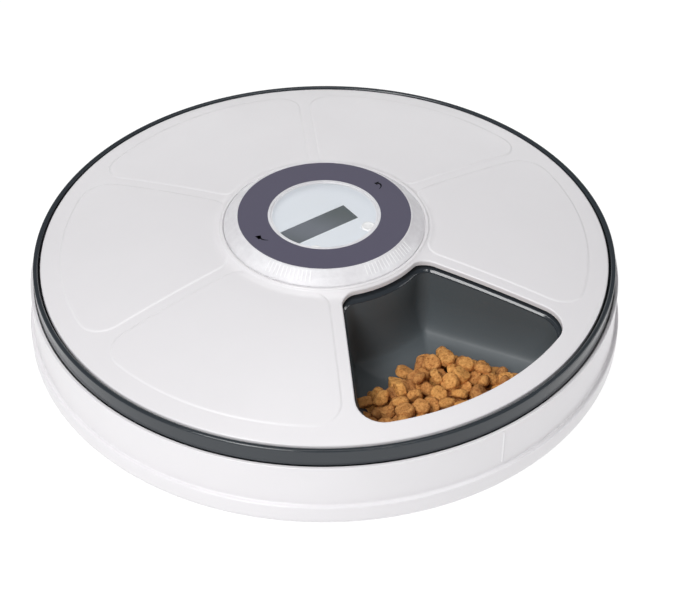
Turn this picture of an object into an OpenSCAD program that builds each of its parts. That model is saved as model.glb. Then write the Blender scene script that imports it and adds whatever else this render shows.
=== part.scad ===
// Six-meal rotating pet feeder.
// A dark tray with six compartments turns in 60 degree steps round a fixed hub. A domed lid
// with one serving window covers it and is held by a clear twist cap. The clock display, the
// buttons, the geared motor and the cells are all in the hub.
// Frame: origin at the centre of the footprint, +Z up, serving window towards -Y. Millimetres.

/* [Outline] */
// Outer radius of the lower band of the base
base_r = 165; // [150:0.5:182]
// Width of the ledge between the base's band and its upper wall
ledge_w = 2.5; // [2.2:0.1:3]
// Step from the upper wall in to the tray's dark rim
rim_step = 2.2; // [2:0.1:3]
// Step from the rim's outside in to the lid
lid_step = 4; // [3.5:0.1:5.5]
// Height of the lid's outer edge and of the rim's top
edge_h = 50; // [45:0.5:55]
// Height of the cap's top
cap_h = 73; // [66:0.5:80]
// Height of the cap's top over the crown of the lid's dome
cap_stand = 6.4; // [5.8:0.1:7]
// Height of the ledge between the base's band and its upper wall
band_h = 15; // [13:0.5:18]
// Height by which the feet lift the base
foot_lift = 1.2; // [0.8:0.1:2]

/* [Walls] */
// Thickness of the base's bottom plate and band
pan_t = 2.3; // [1.8:0.1:2.6]
// Thickness of the base's upper wall and deck
shell_t = 2; // [1.6:0.1:2.4]
// Outer radius of the rounding under the band
base_round = 6; // [5:0.5:7]
// Thickness of the tray's floor and walls
tray_t = 2; // [1.6:0.1:2.4]
// Thickness of the tray's dark rim
rim_t = 2.8; // [2:0.1:3]
// Height of the tray's dark rim
rim_h = 9.7; // [8:0.1:10]
// Thickness of the lid
lid_t = 2.2; // [1.8:0.1:2.6]
// Thickness of the hub's tube
hub_t = 2; // [1.6:0.1:2.4]

/* [Compartments] */
// Number of meals
meals = 6; // [6]
// Half thickness of the divider between two compartments
divider_half = 5; // [4.2:0.1:6]
// Distance from the hub to a compartment
bowl_from_hub = 10; // [9:0.5:13]
// Distance from a compartment to the rim's outside
bowl_from_rim = 16.8; // [15:0.1:20]
// Height of a compartment's floor
floor_h = 14; // [13.6:0.1:16]
// Radius of a compartment's inner corners
corner_in = 8; // [5:0.5:9]
// Radius of a compartment's outer corners
corner_out = 14; // [9:0.5:16]
// How much wider than a compartment the lid's window is on every side
window_margin = 1.6; // [1:0.1:2]
// Height of the raised pads on the lid
pad_h = 0.5; // [0.3:0.1:0.8]
// Depth of the lip around the window, from the lid's outer face
lip_h = 3.2; // [2.8:0.1:3.6]
// Depth of the tray's top face under the lid's outer face
tray_drop = 5; // [4.4:0.1:5.6]
// Depth of the lower layer of kibble
kibble_h = 9; // [5:0.5:12]
// Height of the heap over that layer
heap_h = 4; // [2:0.5:6]

/* [Hub and cap] */
// Room between the corners of the battery box and the outside of the hub
hub_room = 5; // [4.8:0.1:6]
// Depth of the hub's shoulder under the cap's top
shoulder_drop = 11.2; // [10.6:0.1:12]
// Step from the hub in to its neck
neck_step = 4; // [3.9:0.1:4.4]
// Depth of the neck's top under the cap's top
neck_drop = 4.4; // [4.2:0.1:4.6]
// How much wider than the hub the cap is on every side
cap_over = 5.2; // [4.6:0.1:5.6]
// Width of the cap's bevel
bevel_w = 7.2; // [6.4:0.1:8]
// Depth of the lower edge of the bevel under the cap's top
bevel_drop = 6; // [5.6:0.1:6.4]
// Thickness of the cap
cap_t = 2; // [1.6:0.1:2.2]
// Width of the printed ring
ring_w = 16.6; // [14:0.1:18]
// Clear edge outside the printed ring
ring_edge = 0.6; // [0.5:0.1:2]
// Width of the lid's collar around the cap
collar_w = 1.9; // [1.4:0.1:2.2]
// Number of bayonet lugs
lugs = 3; // [3]
// Angle that one lug takes
lug_angle = 24; // [16:1:28]
// Turn of the cap from open to locked
lock_turn = 36; // [34:1:60]

/* [Control panel] */
// Depth of the panel's face under the cap's top
panel_drop = 7; // [6.6:0.1:7.2]
// Thickness of the panel
panel_t = 2; // [1.6:0.1:2.2]
// Length of the display window
lcd_len = 44; // [38:0.5:46]
// Width of the display window
lcd_wid = 14; // [12:0.5:16]
// Distance from the middle to each button along X
button_x = 17.7; // [15:0.1:20]
// Distance from the middle to the buttons along Y
button_y = 16.7; // [16:0.1:18]
// Radius of a button
button_r = 3.9; // [3:0.1:4.2]
// Travel of a button
button_travel = 0.8; // [0.5:0.1:0.8]

// Width of the push switch under a button
key_w = 6; // [5:0.5:6]

/* [Drive] */
// Distance from the hub to the pitch circle of the tray's teeth
pitch_from_hub = 2.5; // [2.5:0.1:3]
// Teeth of the ring moulded in the tray's bore
ring_teeth = 60; // [60]
// Teeth of the drive gear
gear_teeth = 12; // [12]
// Teeth of the motor's pinion
pinion_teeth = 9; // [9]
// Width of the teeth
gear_w = 6; // [4:0.5:6]
// Play between meshing teeth, along the pitch circle
tooth_play = 0.3; // [0.3:0.02:0.4]
// Radius of the drive gear's pin
pin_r = 2; // [1.5:0.1:2.4]
// Number of rollers that carry the tray
rollers = 6; // [6]
// Radius of a roller
roller_r = 3.8; // [3:0.1:3.9]
// Distance of the rollers from the middle
roller_at = 100; // [80:1:120]
// Width of a roller
roller_w = 6; // [4:0.5:8]
// Radius of a roller's pin
roller_pin_r = 1; // [0.8:0.1:1.2]
// Radius of the gearbox
gearbox_r = 15; // [15]
// Height of the gearbox
gearbox_h = 12; // [9:0.5:12]
// Radius of the motor
motor_r = 10; // [7:0.5:12]
// Space over the motor, up to the board
motor_room = 3; // [2:0.1:6]

/* [Cells] */
// Radius of one AA cell
cell_r = 7.25; // [7:0.05:7.25]
// Length of one AA cell, with its stud
cell_len = 50.5; // [48:0.5:51]
// Number of cells
cells = 4; // [4]
// Gap between two cells
cell_gap = 0.7; // [0.4:0.1:1.2]
// Room at the ends of a cell for its spring and its plate, together
contact_room = 6.3; // [6:0.1:7]
// Radius of a cell's contacts
contact_r = 4.6; // [4:0.1:5.2]
// Thickness of the wire of a contact spring
spring_wire = 1; // [0.8:0.05:1]
// Thickness of the battery box
box_t = 1.6; // [1.2:0.1:2]
// Thickness of the battery door
door_t = 1.8; // [1.4:0.1:2]

/* [Fasteners and feet] */
// Radius of a foot
foot_r = 8; // [5:0.5:10]
// Thickness of a foot
foot_t = 2.1; // [1.6:0.1:2.4]
// Distance of the feet from the outside of the base
foot_inset = 23; // [20:1:40]
// Distance of the base's screws from the outside of the base
screw_inset = 15; // [14:0.5:24]
// Radius of a screw's shank
screw_r = 1.35; // [1:0.05:1.5]
// Radius of a screw's head
head_r = 3; // [2.4:0.1:3.2]
// Radius of a small screw's shank
small_screw_r = 1; // [0.8:0.05:1]
// Radius of a small screw's head
small_head_r = 2.2; // [1.8:0.1:2.2]

/* [Hidden] */
$fn = 96;

cut = 1;                 // how far a cutter runs past a face
running = 0.06;          // radial play of a turning fit
snug = 0.05;             // radial play of a fixed fit
seat = 0.1;              // play between stacked fixed pieces
clear = 0.3;             // play between plain moving faces
step_angle = 360 / meals;
serve_angle = -90;       // direction of the serving window
foot_first = 30;         // direction of the first foot
post_first = 30;         // direction of the first post under the panel
roller_first = 15;       // direction of the first roller
axle_depth = 1.6;        // depth of a roller's axis under the top of the deck

// Levels, from the bottom up
pan_top = foot_lift + pan_t;
deck_top = floor_h - tray_t - roller_r + axle_depth;
deck_bottom = deck_top - shell_t;
wall_top = edge_h - rim_h - 0.7;
tray_bottom = floor_h - tray_t;
rim_bottom = edge_h - rim_h;
flange_t = 1.6;          // hub flange
cell_z = pan_top + 0.1 + cell_r;
box_in_top = cell_z + cell_r + clear;
box_top = box_in_top + box_t;
ledge_top = box_top + 2.5;    // ledge in the hub under the gear plate
plate_t = 2;
plate_top = ledge_top + plate_t;
gear_z = plate_top + 1;
gear_top = gear_z + gear_w;
ring_top = gear_top + clear;
gearbox_z = gear_z + 7;
motor_z = gearbox_z + gearbox_h;
dome_rise = cap_h - cap_stand - edge_h;
shoulder_h = cap_h - shoulder_drop;
neck_h = cap_h - neck_drop;
bevel_h = cap_h - bevel_drop;
panel_h = cap_h - panel_drop;
panel_bottom = panel_h - panel_t;
board_top = panel_bottom - 3.4;
board_t = 1.6;
board_bottom = board_top - board_t;
motor_h = board_bottom - motor_room - motor_z;
lid_seat_t = 2;          // lid flange that the cap holds down
lid_seat_top = shoulder_h + 0.2 + lid_seat_t;

// Battery box and its door
cell_pitch = 2 * cell_r + cell_gap;
box_in_x = (cell_len + contact_room) / 2;
box_in_y = cell_pitch * cells / 2 + 0.5;
box_x = box_in_x + box_t;
box_y = box_in_y + box_t;
door_open_x = box_x - 1;
door_open_y = box_y - 1;
door_x = door_open_x - clear;
door_y = door_open_y - clear;
hinge_y = door_open_y + 1.1;
door_edge_y = hinge_y - 1.75;    // the door's edge stays clear of the pan as it swings
hinge_z = foot_lift + 1.1;
knuckle_r = 1.05;
hinge_pin_r = 0.65;
knuckle_at = door_x / 2 + 0.65;
knuckle_len = 9;
catch_x = 9;             // half width of the finger recess at the door's free edge

// Radii, from the outside in and from the battery box out
wall_r = base_r - ledge_w;
rim_r = wall_r - rim_step;
lid_r = rim_r - lid_step;
foot_at = base_r - foot_inset;
screw_at = base_r - screw_inset;
hub_r = ceil(norm([box_x, box_y]) + hub_room);
cap_r = hub_r + cap_over;
cap_flat_r = cap_r - bevel_w;
ring_out_r = cap_flat_r - ring_edge;
ring_in_r = ring_out_r - ring_w;
neck_r = hub_r - neck_step;
shell_in_r = wall_r - shell_t;
hub_in_r = hub_r - hub_t;
neck_in_r = neck_r - 2;
hub_screw_at = hub_in_r - 3.4;
plate_screw_at = hub_in_r - 2.8;
post_at = neck_in_r - 10;    // distance of the panel's screw posts from the middle
lug_r = neck_r + 1.6;
skirt_in_r = lug_r + 0.4;
hook_r = neck_r + 0.5;
lid_bore_r = lug_r + 0.4;
rim_in_r = rim_r - rim_t;
collar_in_r = cap_r + clear;
collar_out_r = collar_in_r + collar_w;
track_half = roller_w / 2 + 3;
roller_z = tray_bottom - 0.05 - roller_r;

// Compartments, and the window in the lid that is a margin wider
bowl_in_r = hub_r + bowl_from_hub;
bowl_out_r = rim_r - bowl_from_rim;
window_in_r = bowl_in_r - window_margin;
window_out_r = bowl_out_r + window_margin;
window_half = divider_half - window_margin;
window_corner_in = corner_in + window_margin / 2;
kibble_back = (bowl_out_r - bowl_in_r) * 0.2875;    // bare floor behind the kibble
heap_back = (bowl_out_r - bowl_in_r) * 0.455;       // and behind the heap

// Gears
pitch_r = hub_r + pitch_from_hub;
gear_module = 2 * pitch_r / ring_teeth;
gear_at = pitch_r - gear_module * gear_teeth / 2;
pinion_at = gear_at - gear_module * (gear_teeth + pinion_teeth) / 2;
addendum = 0.85 * gear_module;
dedendum = 1.15 * gear_module;
pressure = 25;
ring_root_r = pitch_r + dedendum;
bore_low_r = ring_root_r + 0.5;
bore_high_r = pitch_r + 0.5;
gear_room = gear_module * gear_teeth / 2 + addendum + 0.6;
gearbox_at = pinion_at - 7.6;
lead_x = -24;            // place of the cells' two leads, which pass through the gear plate
lead_y = -20;
lead_r = 0.8;
thin_lead_r = 0.7;
buzzer_at = [-20, 20];
buzzer_h = 3;

// Position switch: a pinned lever whose tip meets the cams in the tray's bore
lever_z = ring_top + 2.6;
lever_w = 4;
lever_tip_r = 1.2;
cam_h = 0.3;
lever_pin = [-5, hub_in_r - 2.4];
lever_reach = bore_high_r - cam_h - 0.2 - lever_tip_r;
lever_tip = [5.5, sqrt(pow(lever_reach, 2) - pow(5.5, 2))];

// Display window, off centre by a few millimetres
lcd_x = -4;
lcd_y = 0.2;

// Level of the lid's outer face at radius r
function dome(r) = edge_h + dome_rise * (1 - pow(r / lid_r, 2));

// Points of an arc, without its last one
function arc(c, r, from, to, n) =
    [for (i = [0 : n - 1]) let (a = from + (to - from) * i / n) c + r * [cos(a), sin(a)]];
function polar(r, a) = r * [cos(a), sin(a)];

// Outline of one sector, centred on +X: inner and outer arcs, straight sides parallel to the
// dividers at distance g, corners rounded by ci and co
function fan(ri, ro, g, ci, co) =
    let (
        h = step_angle / 2,
        to = h - asin((g + co) / (ro - co)),
        ti = h - asin((g + ci) / (ri + ci))
    )
    concat(
        arc([0, 0], ro, -to, to, 16),
        arc(polar(ro - co, to), co, to, h + 90, 6),
        arc(polar(ri + ci, ti), ci, h + 90, ti + 180, 6),
        arc([0, 0], ri, ti, -ti, 10),
        arc(polar(ri + ci, -ti), ci, 180 - ti, 270 - h, 6),
        arc(polar(ro - co, -to), co, -h - 90, -to, 6)
    );

// Points of a curve that follows the dome at a height offset, from radius r0 to r1
function dome_line(r0, r1, offset_z, n) =
    [for (i = [0 : n]) let (r = r0 + (r1 - r0) * i / n) [r, dome(r) + offset_z]];

// Half angle of a tooth at radius r, for a gear with pitch radius p and z teeth
function involute(a) = tan(a) * 180 / PI - a;
function tooth_half(r, p, z, play) =
    let (base = p * cos(pressure))
    90 / z + involute(pressure) - (r > base ? involute(acos(base / r)) : 0)
    - play / (4 * p) * 180 / PI;

// Outline of a gear with z teeth, from its root radius to its tip radius
function gear_outline(z, root, tip, play) =
    let (p = gear_module * z / 2, n = 3)
    [for (k = [0 : z - 1]) for (s = [-1, 1]) for (i = [0 : n])
        let (
            t = s < 0 ? i / n : 1 - i / n,
            r = root + (tip - root) * t,
            a = k * 360 / z + s * tooth_half(r, p, z, play)
        )
        polar(r, a)
    ];

module spread(count, radius, first = 0) {
    for (i = [0 : count - 1]) rotate(first + 360 * i / count) translate([radius, 0, 0]) children();
}

module tube(r_out, r_in, z0, z1) {
    difference() {
        translate([0, 0, z0]) cylinder(r = r_out, h = z1 - z0);
        translate([0, 0, z0 - cut]) cylinder(r = r_in, h = z1 - z0 + 2 * cut);
    }
}

module box(x0, x1, y0, y1, z0, z1) {
    translate([x0, y0, z0]) cube([x1 - x0, y1 - y0, z1 - z0]);
}

module compartments(z0, z1) {
    for (i = [0 : meals - 1]) rotate(serve_angle + i * step_angle)
        translate([0, 0, z0]) linear_extrude(z1 - z0)
            polygon(fan(bowl_in_r, bowl_out_r, divider_half, corner_in, corner_out));
}

module window_prism(grow, z0, z1) {
    translate([0, 0, z0]) linear_extrude(z1 - z0)
        polygon(fan(window_in_r - grow, window_out_r + grow, window_half - grow,
            window_corner_in + grow, corner_out + grow));
}

module screw(z, shank) {
    translate([0, 0, z]) cylinder(r = head_r, h = 1.1);
    translate([0, 0, z + 1]) cylinder(r = screw_r, h = shank);
}

// ---- base ----

module base_pan() {
    wall_in = base_r - pan_t;
    c = [base_r - base_round, foot_lift + base_round];
    color([0.93, 0.92, 0.93]) difference() {
        rotate_extrude() polygon(concat(
            [[0, foot_lift]],
            arc(c, base_round, -90, 0, 8),
            [[base_r, foot_lift + base_round], [base_r, band_h - 0.6], [base_r - 0.6, band_h],
                [wall_in, band_h]],
            arc(c, base_round - pan_t, 0, -90, 8),
            [[c[0], pan_top], [0, pan_top]]
        ));
        box(-door_open_x, door_open_x, -door_open_y, door_open_y, foot_lift - cut, pan_top + cut);
        for (x = [-knuckle_at, knuckle_at]) {
            half = knuckle_len / 2 + clear;
            box(x - half, x + half, door_open_y - cut, hinge_y + knuckle_r + clear,
                foot_lift - cut, pan_top + cut);
            translate([x - half - 2, hinge_y, hinge_z]) rotate([0, 90, 0])
                cylinder(r = hinge_pin_r + running, h = 2 * half + 4);
        }
        box(-catch_x, catch_x, -door_open_y - 6, -door_open_y + cut, foot_lift - cut,
            foot_lift + 1.2);
        spread(meals, foot_at, foot_first) translate([0, 0, -cut])
            cylinder(r = foot_r + snug, h = cut + foot_t + snug);
        spread(meals, screw_at) {
            translate([0, 0, foot_lift - cut]) cylinder(r = head_r + 0.2, h = cut + 1.3);
            cylinder(r = screw_r + 0.3, h = pan_top + cut);
        }
    }
}

module base_shell() {
    color([0.95, 0.945, 0.95]) difference() {
        union() {
            rotate_extrude() polygon([
                [shell_in_r, deck_bottom - 0.4], [wall_r - 0.4, deck_bottom - 0.4],
                [wall_r, deck_bottom], [wall_r, wall_top - 0.5], [wall_r - 0.5, wall_top],
                [shell_in_r, wall_top]
            ]);
            translate([0, 0, deck_bottom]) cylinder(r = shell_in_r + cut, h = shell_t);
            spread(meals, screw_at) translate([0, 0, pan_top + seat])
                cylinder(r = 3.6, h = deck_bottom - pan_top);
            spread(rollers, roller_at, roller_first) for (s = [-1, 1])
                translate([s * (roller_w / 2 + 1.65), 0, (deck_top + 5.6) / 2])
                    cube([2.7, 6, deck_top - 5.6], center = true);
        }
        box(-box_x - 0.6, box_x + 0.6, -box_y - 0.6, box_y + 0.6, 0, deck_top + cut);
        spread(meals, screw_at) cylinder(r = screw_r + snug, h = deck_top - 0.6);
        spread(4, hub_screw_at) cylinder(r = screw_r + 0.3, h = deck_top + cut);
        spread(rollers, roller_at, roller_first) {
            box(-roller_w / 2 - clear, roller_w / 2 + clear, -roller_r - 0.5, roller_r + 0.5,
                0, deck_top + cut);
            translate([-roller_w / 2 - 2.4, 0, roller_z]) rotate([0, 90, 0])
                cylinder(r = roller_pin_r + snug, h = roller_w + 6.4);
        }
    }
}

module rubber_feet() {
    color([0.16, 0.16, 0.17]) spread(meals, foot_at, foot_first) {
        cylinder(r1 = foot_r - 0.6, r2 = foot_r, h = 0.6);
        translate([0, 0, 0.6]) cylinder(r = foot_r, h = foot_t - 0.6);
    }
}

module base_screws() {
    color([0.62, 0.62, 0.64]) spread(meals, screw_at)
        screw(foot_lift + 0.15, deck_top - foot_lift - 2.4);
}

// ---- battery compartment ----

module battery_box() {
    color([0.9, 0.9, 0.91]) difference() {
        box(-box_x, box_x, -box_y, box_y, pan_top, box_top);
        box(-box_in_x, box_in_x, -box_in_y, box_in_y, pan_top - cut, box_in_top);
    }
}

module cell_row() {
    for (i = [0 : cells - 1]) translate([0, (i - (cells - 1) / 2) * cell_pitch, cell_z])
        rotate([0, 0, i % 2 == 0 ? 0 : 180]) rotate([0, 90, 0]) children();
}

module batteries() {
    color([0.2, 0.32, 0.28]) cell_row() translate([0, 0, contact_room - 1.7 - box_in_x]) {
        cylinder(r = cell_r, h = cell_len - 1.2);
        translate([0, 0, cell_len - 1.3]) cylinder(r = 2.6, h = 1.3);
    }
}

module battery_contacts() {
    w = spring_wire / 2;
    first = 0.4 + w;
    pitch = (contact_room - 1.7 - w - first - 0.26) / 3;
    color([0.75, 0.74, 0.7]) cell_row() {
        translate([0, 0, -box_in_x]) cylinder(r = contact_r, h = 0.5);
        for (i = [0 : 3]) translate([0, 0, -box_in_x + first + i * pitch])
            rotate_extrude($fn = 32) translate([contact_r - w - 0.1 - i * 0.35, 0])
                circle(r = w, $fn = 16);
        translate([0, 0, box_in_x - 1.5]) cylinder(r = contact_r, h = 1.5);
    }
}

module battery_door() {
    color([0.93, 0.92, 0.93]) {
        difference() {
            union() {
                box(-door_x, door_x, -door_y, door_edge_y, foot_lift, foot_lift + door_t);
                for (x = [-knuckle_at, knuckle_at]) translate([x - knuckle_len / 2, 0, 0]) {
                    translate([0, hinge_y, hinge_z]) rotate([0, 90, 0])
                        cylinder(r = knuckle_r, h = knuckle_len);
                    box(0, knuckle_len, door_edge_y - cut, hinge_y, foot_lift + 0.1,
                        foot_lift + door_t);
                    translate([-1.5, hinge_y, hinge_z]) rotate([0, 90, 0])
                        cylinder(r = hinge_pin_r, h = knuckle_len + 3);
                }
            }
            box(-catch_x + 2, catch_x - 2, -door_y - cut, -door_y + 1.2, foot_lift - cut,
                foot_lift + door_t + cut);
        }
        for (i = [-2 : 2]) let (y = i * door_y * 0.29)
            box(-door_x * 0.7, door_x * 0.7, y - 0.6, y + 0.6, foot_lift + door_t, pan_top - 0.2);
    }
}

// ---- hub ----

module hub_column() {
    color([0.93, 0.93, 0.94]) difference() {
        union() {
            tube(hub_r, hub_in_r, deck_top, shoulder_h);
            tube(hub_r + 8, hub_in_r, deck_top, deck_top + flange_t);
            tube(hub_in_r + cut, hub_in_r - 5.5, ledge_top - 2, ledge_top);
            tube(hub_r, neck_in_r, shoulder_h - 2, shoulder_h);
            tube(neck_r, neck_in_r, shoulder_h - cut, neck_h);
            tube(neck_in_r + cut, neck_in_r - 2, shoulder_h, panel_bottom);
            bayonet_ring(neck_r - 0.5, lug_r, neck_h - 1.7, neck_h, 0);
            spread(4, hub_screw_at) translate([0, 0, deck_top]) cylinder(r = 3.6, h = 9.2);
            for (s = [0, 180]) rotate(s) box(-1.5, 1.5, neck_r - 0.5, neck_r + 3, shoulder_h - cut,
                lid_seat_top - 0.4);
        }
        spread(4, hub_screw_at) translate([0, 0, deck_top - cut])
            cylinder(r = screw_r + snug, h = 9);
        spread(3, plate_screw_at, 60) translate([0, 0, ledge_top - 2 - cut])
            cylinder(r = small_screw_r + snug, h = 2 + 2 * cut);
        box(hub_in_r - 4, hub_r + cut, -gear_room, gear_room, gear_z - 0.8, gear_top + 0.8);
        box(-9, 9, hub_in_r - 2, hub_r + cut, lever_z - 0.9, lever_z + lever_w + 1.1);
    }
}

// Short ring segments, one for each lug
module bayonet_ring(r_in, r_out, z0, z1, turn) {
    for (i = [0 : lugs - 1]) rotate(turn + i * 360 / lugs - lug_angle / 2)
        rotate_extrude(angle = lug_angle)
            polygon([[r_in, z0], [r_out, z0], [r_out, z1], [r_in, z1]]);
}

module hub_screws() {
    color([0.62, 0.62, 0.64]) spread(4, hub_screw_at)
        screw(deck_bottom - 1.15, 9);
}

module gear_plate() {
    color([0.86, 0.86, 0.85]) difference() {
        translate([0, 0, ledge_top]) cylinder(r = hub_in_r - 0.4, h = plate_t);
        translate([gear_at, 0, ledge_top - cut]) cylinder(r = pin_r + snug, h = plate_t + 2 * cut);
        translate([pinion_at, 0, plate_top - 1.4]) cylinder(r = 2 + running, h = 2.4);
        spread(3, plate_screw_at, 60) translate([0, 0, ledge_top - cut])
            cylinder(r = small_screw_r + 0.2, h = plate_t + 2 * cut);
        for (y = [-4, 4]) translate([lead_x, lead_y + y, ledge_top - cut])
            cylinder(r = lead_r + 0.7, h = plate_t + 2 * cut);
    }
}

module plate_screws() {
    color([0.62, 0.62, 0.64]) spread(3, plate_screw_at, 60) {
        translate([0, 0, ledge_top - 1.6]) cylinder(r = small_screw_r, h = plate_t + 1.7);
        translate([0, 0, plate_top]) cylinder(r = small_head_r, h = 1.2);
    }
}

module drive_gear_pin() {
    color([0.72, 0.73, 0.75]) translate([gear_at, 0, 0]) {
        translate([0, 0, ledge_top]) cylinder(r = pin_r, h = gear_top + 0.4 - ledge_top);
        translate([0, 0, gear_top + 0.2]) cylinder(r = pin_r + 1, h = 0.6);
    }
}

module drive_gear() {
    p = gear_module * gear_teeth / 2;
    color([0.88, 0.85, 0.76]) translate([gear_at, 0, 0]) difference() {
        union() {
            translate([0, 0, gear_z]) linear_extrude(gear_w)
                polygon(gear_outline(gear_teeth, p - dedendum, p + addendum, tooth_play));
            translate([0, 0, plate_top + 0.1]) cylinder(r = pin_r + 2, h = gear_w);
        }
        translate([0, 0, plate_top - cut]) cylinder(r = pin_r + running, h = gear_w + 3);
    }
}

module motor_pinion() {
    p = gear_module * pinion_teeth / 2;
    color([0.72, 0.73, 0.75]) translate([pinion_at, 0, 0]) {
        translate([0, 0, gear_z]) linear_extrude(gear_w)
            rotate(180 / pinion_teeth)
            polygon(gear_outline(pinion_teeth, p - dedendum, p + addendum, tooth_play));
        translate([0, 0, plate_top - 1.2]) cylinder(r = 2, h = gearbox_z + 2.8 - plate_top + 1.2);
    }
}

module gearbox() {
    color([0.8, 0.8, 0.82]) translate([gearbox_at, 0, 0]) difference() {
        union() {
            translate([0, 0, gearbox_z]) cylinder(r = gearbox_r, h = gearbox_h);
            for (p = [[-11.5, 0], [-2, 11.5], [-2, -11.5]]) translate([p[0], p[1], plate_top])
                cylinder(r = 2.5, h = gearbox_z - plate_top + cut);
        }
        translate([pinion_at - gearbox_at, 0, gearbox_z - cut]) cylinder(r = 2 + running, h = 4);
    }
}

module motor() {
    color([0.7, 0.71, 0.73]) translate([gearbox_at, 0, 0]) {
        translate([0, 0, motor_z]) cylinder(r = motor_r, h = motor_h);
        translate([0, 0, motor_z + motor_h - cut]) cylinder(r = 3, h = cut + 0.8);
    }
}

// ---- position switch: its lever meets six small cams in the tray's bore ----

module position_switch() {
    color([0.14, 0.14, 0.15]) difference() {
        union() {
            box(-6.4, 6.4, hub_in_r - 10, hub_in_r - 4, plate_top, lever_z + lever_w + 1.4);
            for (z = [lever_z - 1.2, lever_z + lever_w + 0.2])
                box(lever_pin[0] - 1.4, lever_pin[0] + 1.4, hub_in_r - 4.2, hub_in_r - 1, z, z + 1);
        }
        translate([lever_pin[0], lever_pin[1], lever_z - 2])
            cylinder(r = 0.5 + running, h = lever_w + 4, $fn = 32);
    }
}

module switch_lever() {
    run = lever_tip - lever_pin;
    color([0.78, 0.78, 0.78]) {
        translate([lever_pin[0], lever_pin[1], lever_z - 1.2])
            cylinder(r = 0.5, h = lever_w + 2.4, $fn = 32);
        translate([lever_pin[0], lever_pin[1], lever_z]) {
            cylinder(r = 0.9, h = lever_w, $fn = 32);
            rotate(atan2(run[1], run[0])) translate([0, -0.25, 0]) cube([norm(run), 0.5, lever_w]);
        }
        translate([lever_tip[0], lever_tip[1], lever_z])
            cylinder(r = lever_tip_r, h = lever_w, $fn = 32);
    }
}

// ---- electronics ----

module control_board() {
    color([0.1, 0.36, 0.22]) difference() {
        translate([0, 0, board_bottom]) cylinder(r = neck_in_r - 3, h = board_t);
        spread(3, post_at, post_first) translate([0, 0, board_bottom - cut])
            cylinder(r = small_screw_r + clear, h = board_t + 2 * cut);
    }
}

module board_switches() {
    color([0.2, 0.2, 0.21]) for (s = [-1, 1]) translate([s * button_x, -button_y, board_top]) {
        box(-key_w / 2, key_w / 2, -key_w / 2, key_w / 2, 0, 1.1);
        cylinder(r = 1.6, h = 1.6);
    }
}

module buzzer() {
    color([0.12, 0.12, 0.13]) difference() {
        translate([buzzer_at[0], buzzer_at[1], board_bottom - buzzer_h])
            cylinder(r = 6, h = buzzer_h);
        translate([buzzer_at[0], buzzer_at[1], board_bottom - buzzer_h - cut])
            cylinder(r = 1.2, h = 1.4 + cut);
    }
}

module lcd_module() {
    color([0.35, 0.37, 0.38])
        box(lcd_x - lcd_len / 2 - 2, lcd_x + lcd_len / 2 + 2, lcd_y - lcd_wid / 2 - 3,
            lcd_y + lcd_wid / 2 + 3, board_top, panel_bottom - seat);
}

module lcd_window() {
    color([0.47, 0.49, 0.52])
        box(lcd_x - lcd_len / 2 + seat, lcd_x + lcd_len / 2 - seat, lcd_y - lcd_wid / 2 + seat,
            lcd_y + lcd_wid / 2 - seat, panel_bottom, panel_h);
}

module control_panel() {
    color([0.86, 0.88, 0.9]) difference() {
        union() {
            translate([0, 0, panel_bottom]) cylinder(r = neck_in_r - 0.15, h = panel_t);
            spread(3, post_at, post_first) translate([0, 0, board_top])
                cylinder(r = 2.6, h = panel_bottom - board_top + cut);
        }
        box(lcd_x - lcd_len / 2, lcd_x + lcd_len / 2, lcd_y - lcd_wid / 2, lcd_y + lcd_wid / 2,
            panel_bottom - cut, panel_h + cut);
        for (s = [-1, 1]) translate([s * button_x, -button_y, panel_bottom - cut])
            cylinder(r = button_r + 0.1, h = panel_t + 2 * cut);
        spread(3, post_at, post_first) translate([0, 0, board_top - cut])
            cylinder(r = small_screw_r + snug, h = 4);
    }
}

module panel_screws() {
    color([0.62, 0.62, 0.64]) spread(3, post_at, post_first) {
        translate([0, 0, board_bottom - 1.2]) cylinder(r = small_head_r, h = 1.2);
        translate([0, 0, board_bottom - 0.1]) cylinder(r = small_screw_r, h = 4.2);
    }
}

module internal_leads() {
    color([0.55, 0.12, 0.1]) {
        for (y = [-4, 4]) translate([lead_x, lead_y + y, box_top])
            cylinder(r = lead_r, h = board_bottom - box_top, $fn = 24);
        for (y = [-6, 6]) translate([gearbox_at, y, motor_z + motor_h])
            cylinder(r = thin_lead_r, h = motor_room, $fn = 24);
        for (x = [-2.5, 2.5]) translate([x, hub_in_r - 9, lever_z + lever_w + 1.4])
            cylinder(r = thin_lead_r, h = board_bottom - lever_z - lever_w - 1.4, $fn = 24);
    }
}

module button(s) {
    color([0.92, 0.93, 0.94]) translate([s * button_x, -button_y, 0]) {
        translate([0, 0, panel_bottom - 0.8]) cylinder(r = button_r + 0.8, h = 0.7);
        translate([0, 0, panel_bottom - 0.2]) cylinder(r = button_r, h = panel_t + 0.9);
    }
}

module button_left() { button(-1); }
module button_right() { button(1); }

// ---- rollers ----

module at_roller(i) {
    rotate(roller_first + 360 * i / rollers) translate([roller_at, 0, roller_z])
        rotate([0, 90, 0]) children();
}

module roller_pins() {
    color([0.72, 0.73, 0.75]) for (i = [0 : rollers - 1]) at_roller(i)
        translate([0, 0, -roller_w / 2 - 2.3])
            cylinder(r = roller_pin_r, h = roller_w + 5, $fn = 32);
}

module tray_roller(i) {
    color([0.85, 0.85, 0.83]) at_roller(i) difference() {
        translate([0, 0, -roller_w / 2]) cylinder(r = roller_r, h = roller_w);
        translate([0, 0, -roller_w / 2 - cut])
            cylinder(r = roller_pin_r + running, h = roller_w + 2 * cut);
    }
}

// ---- tray ----

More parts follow.
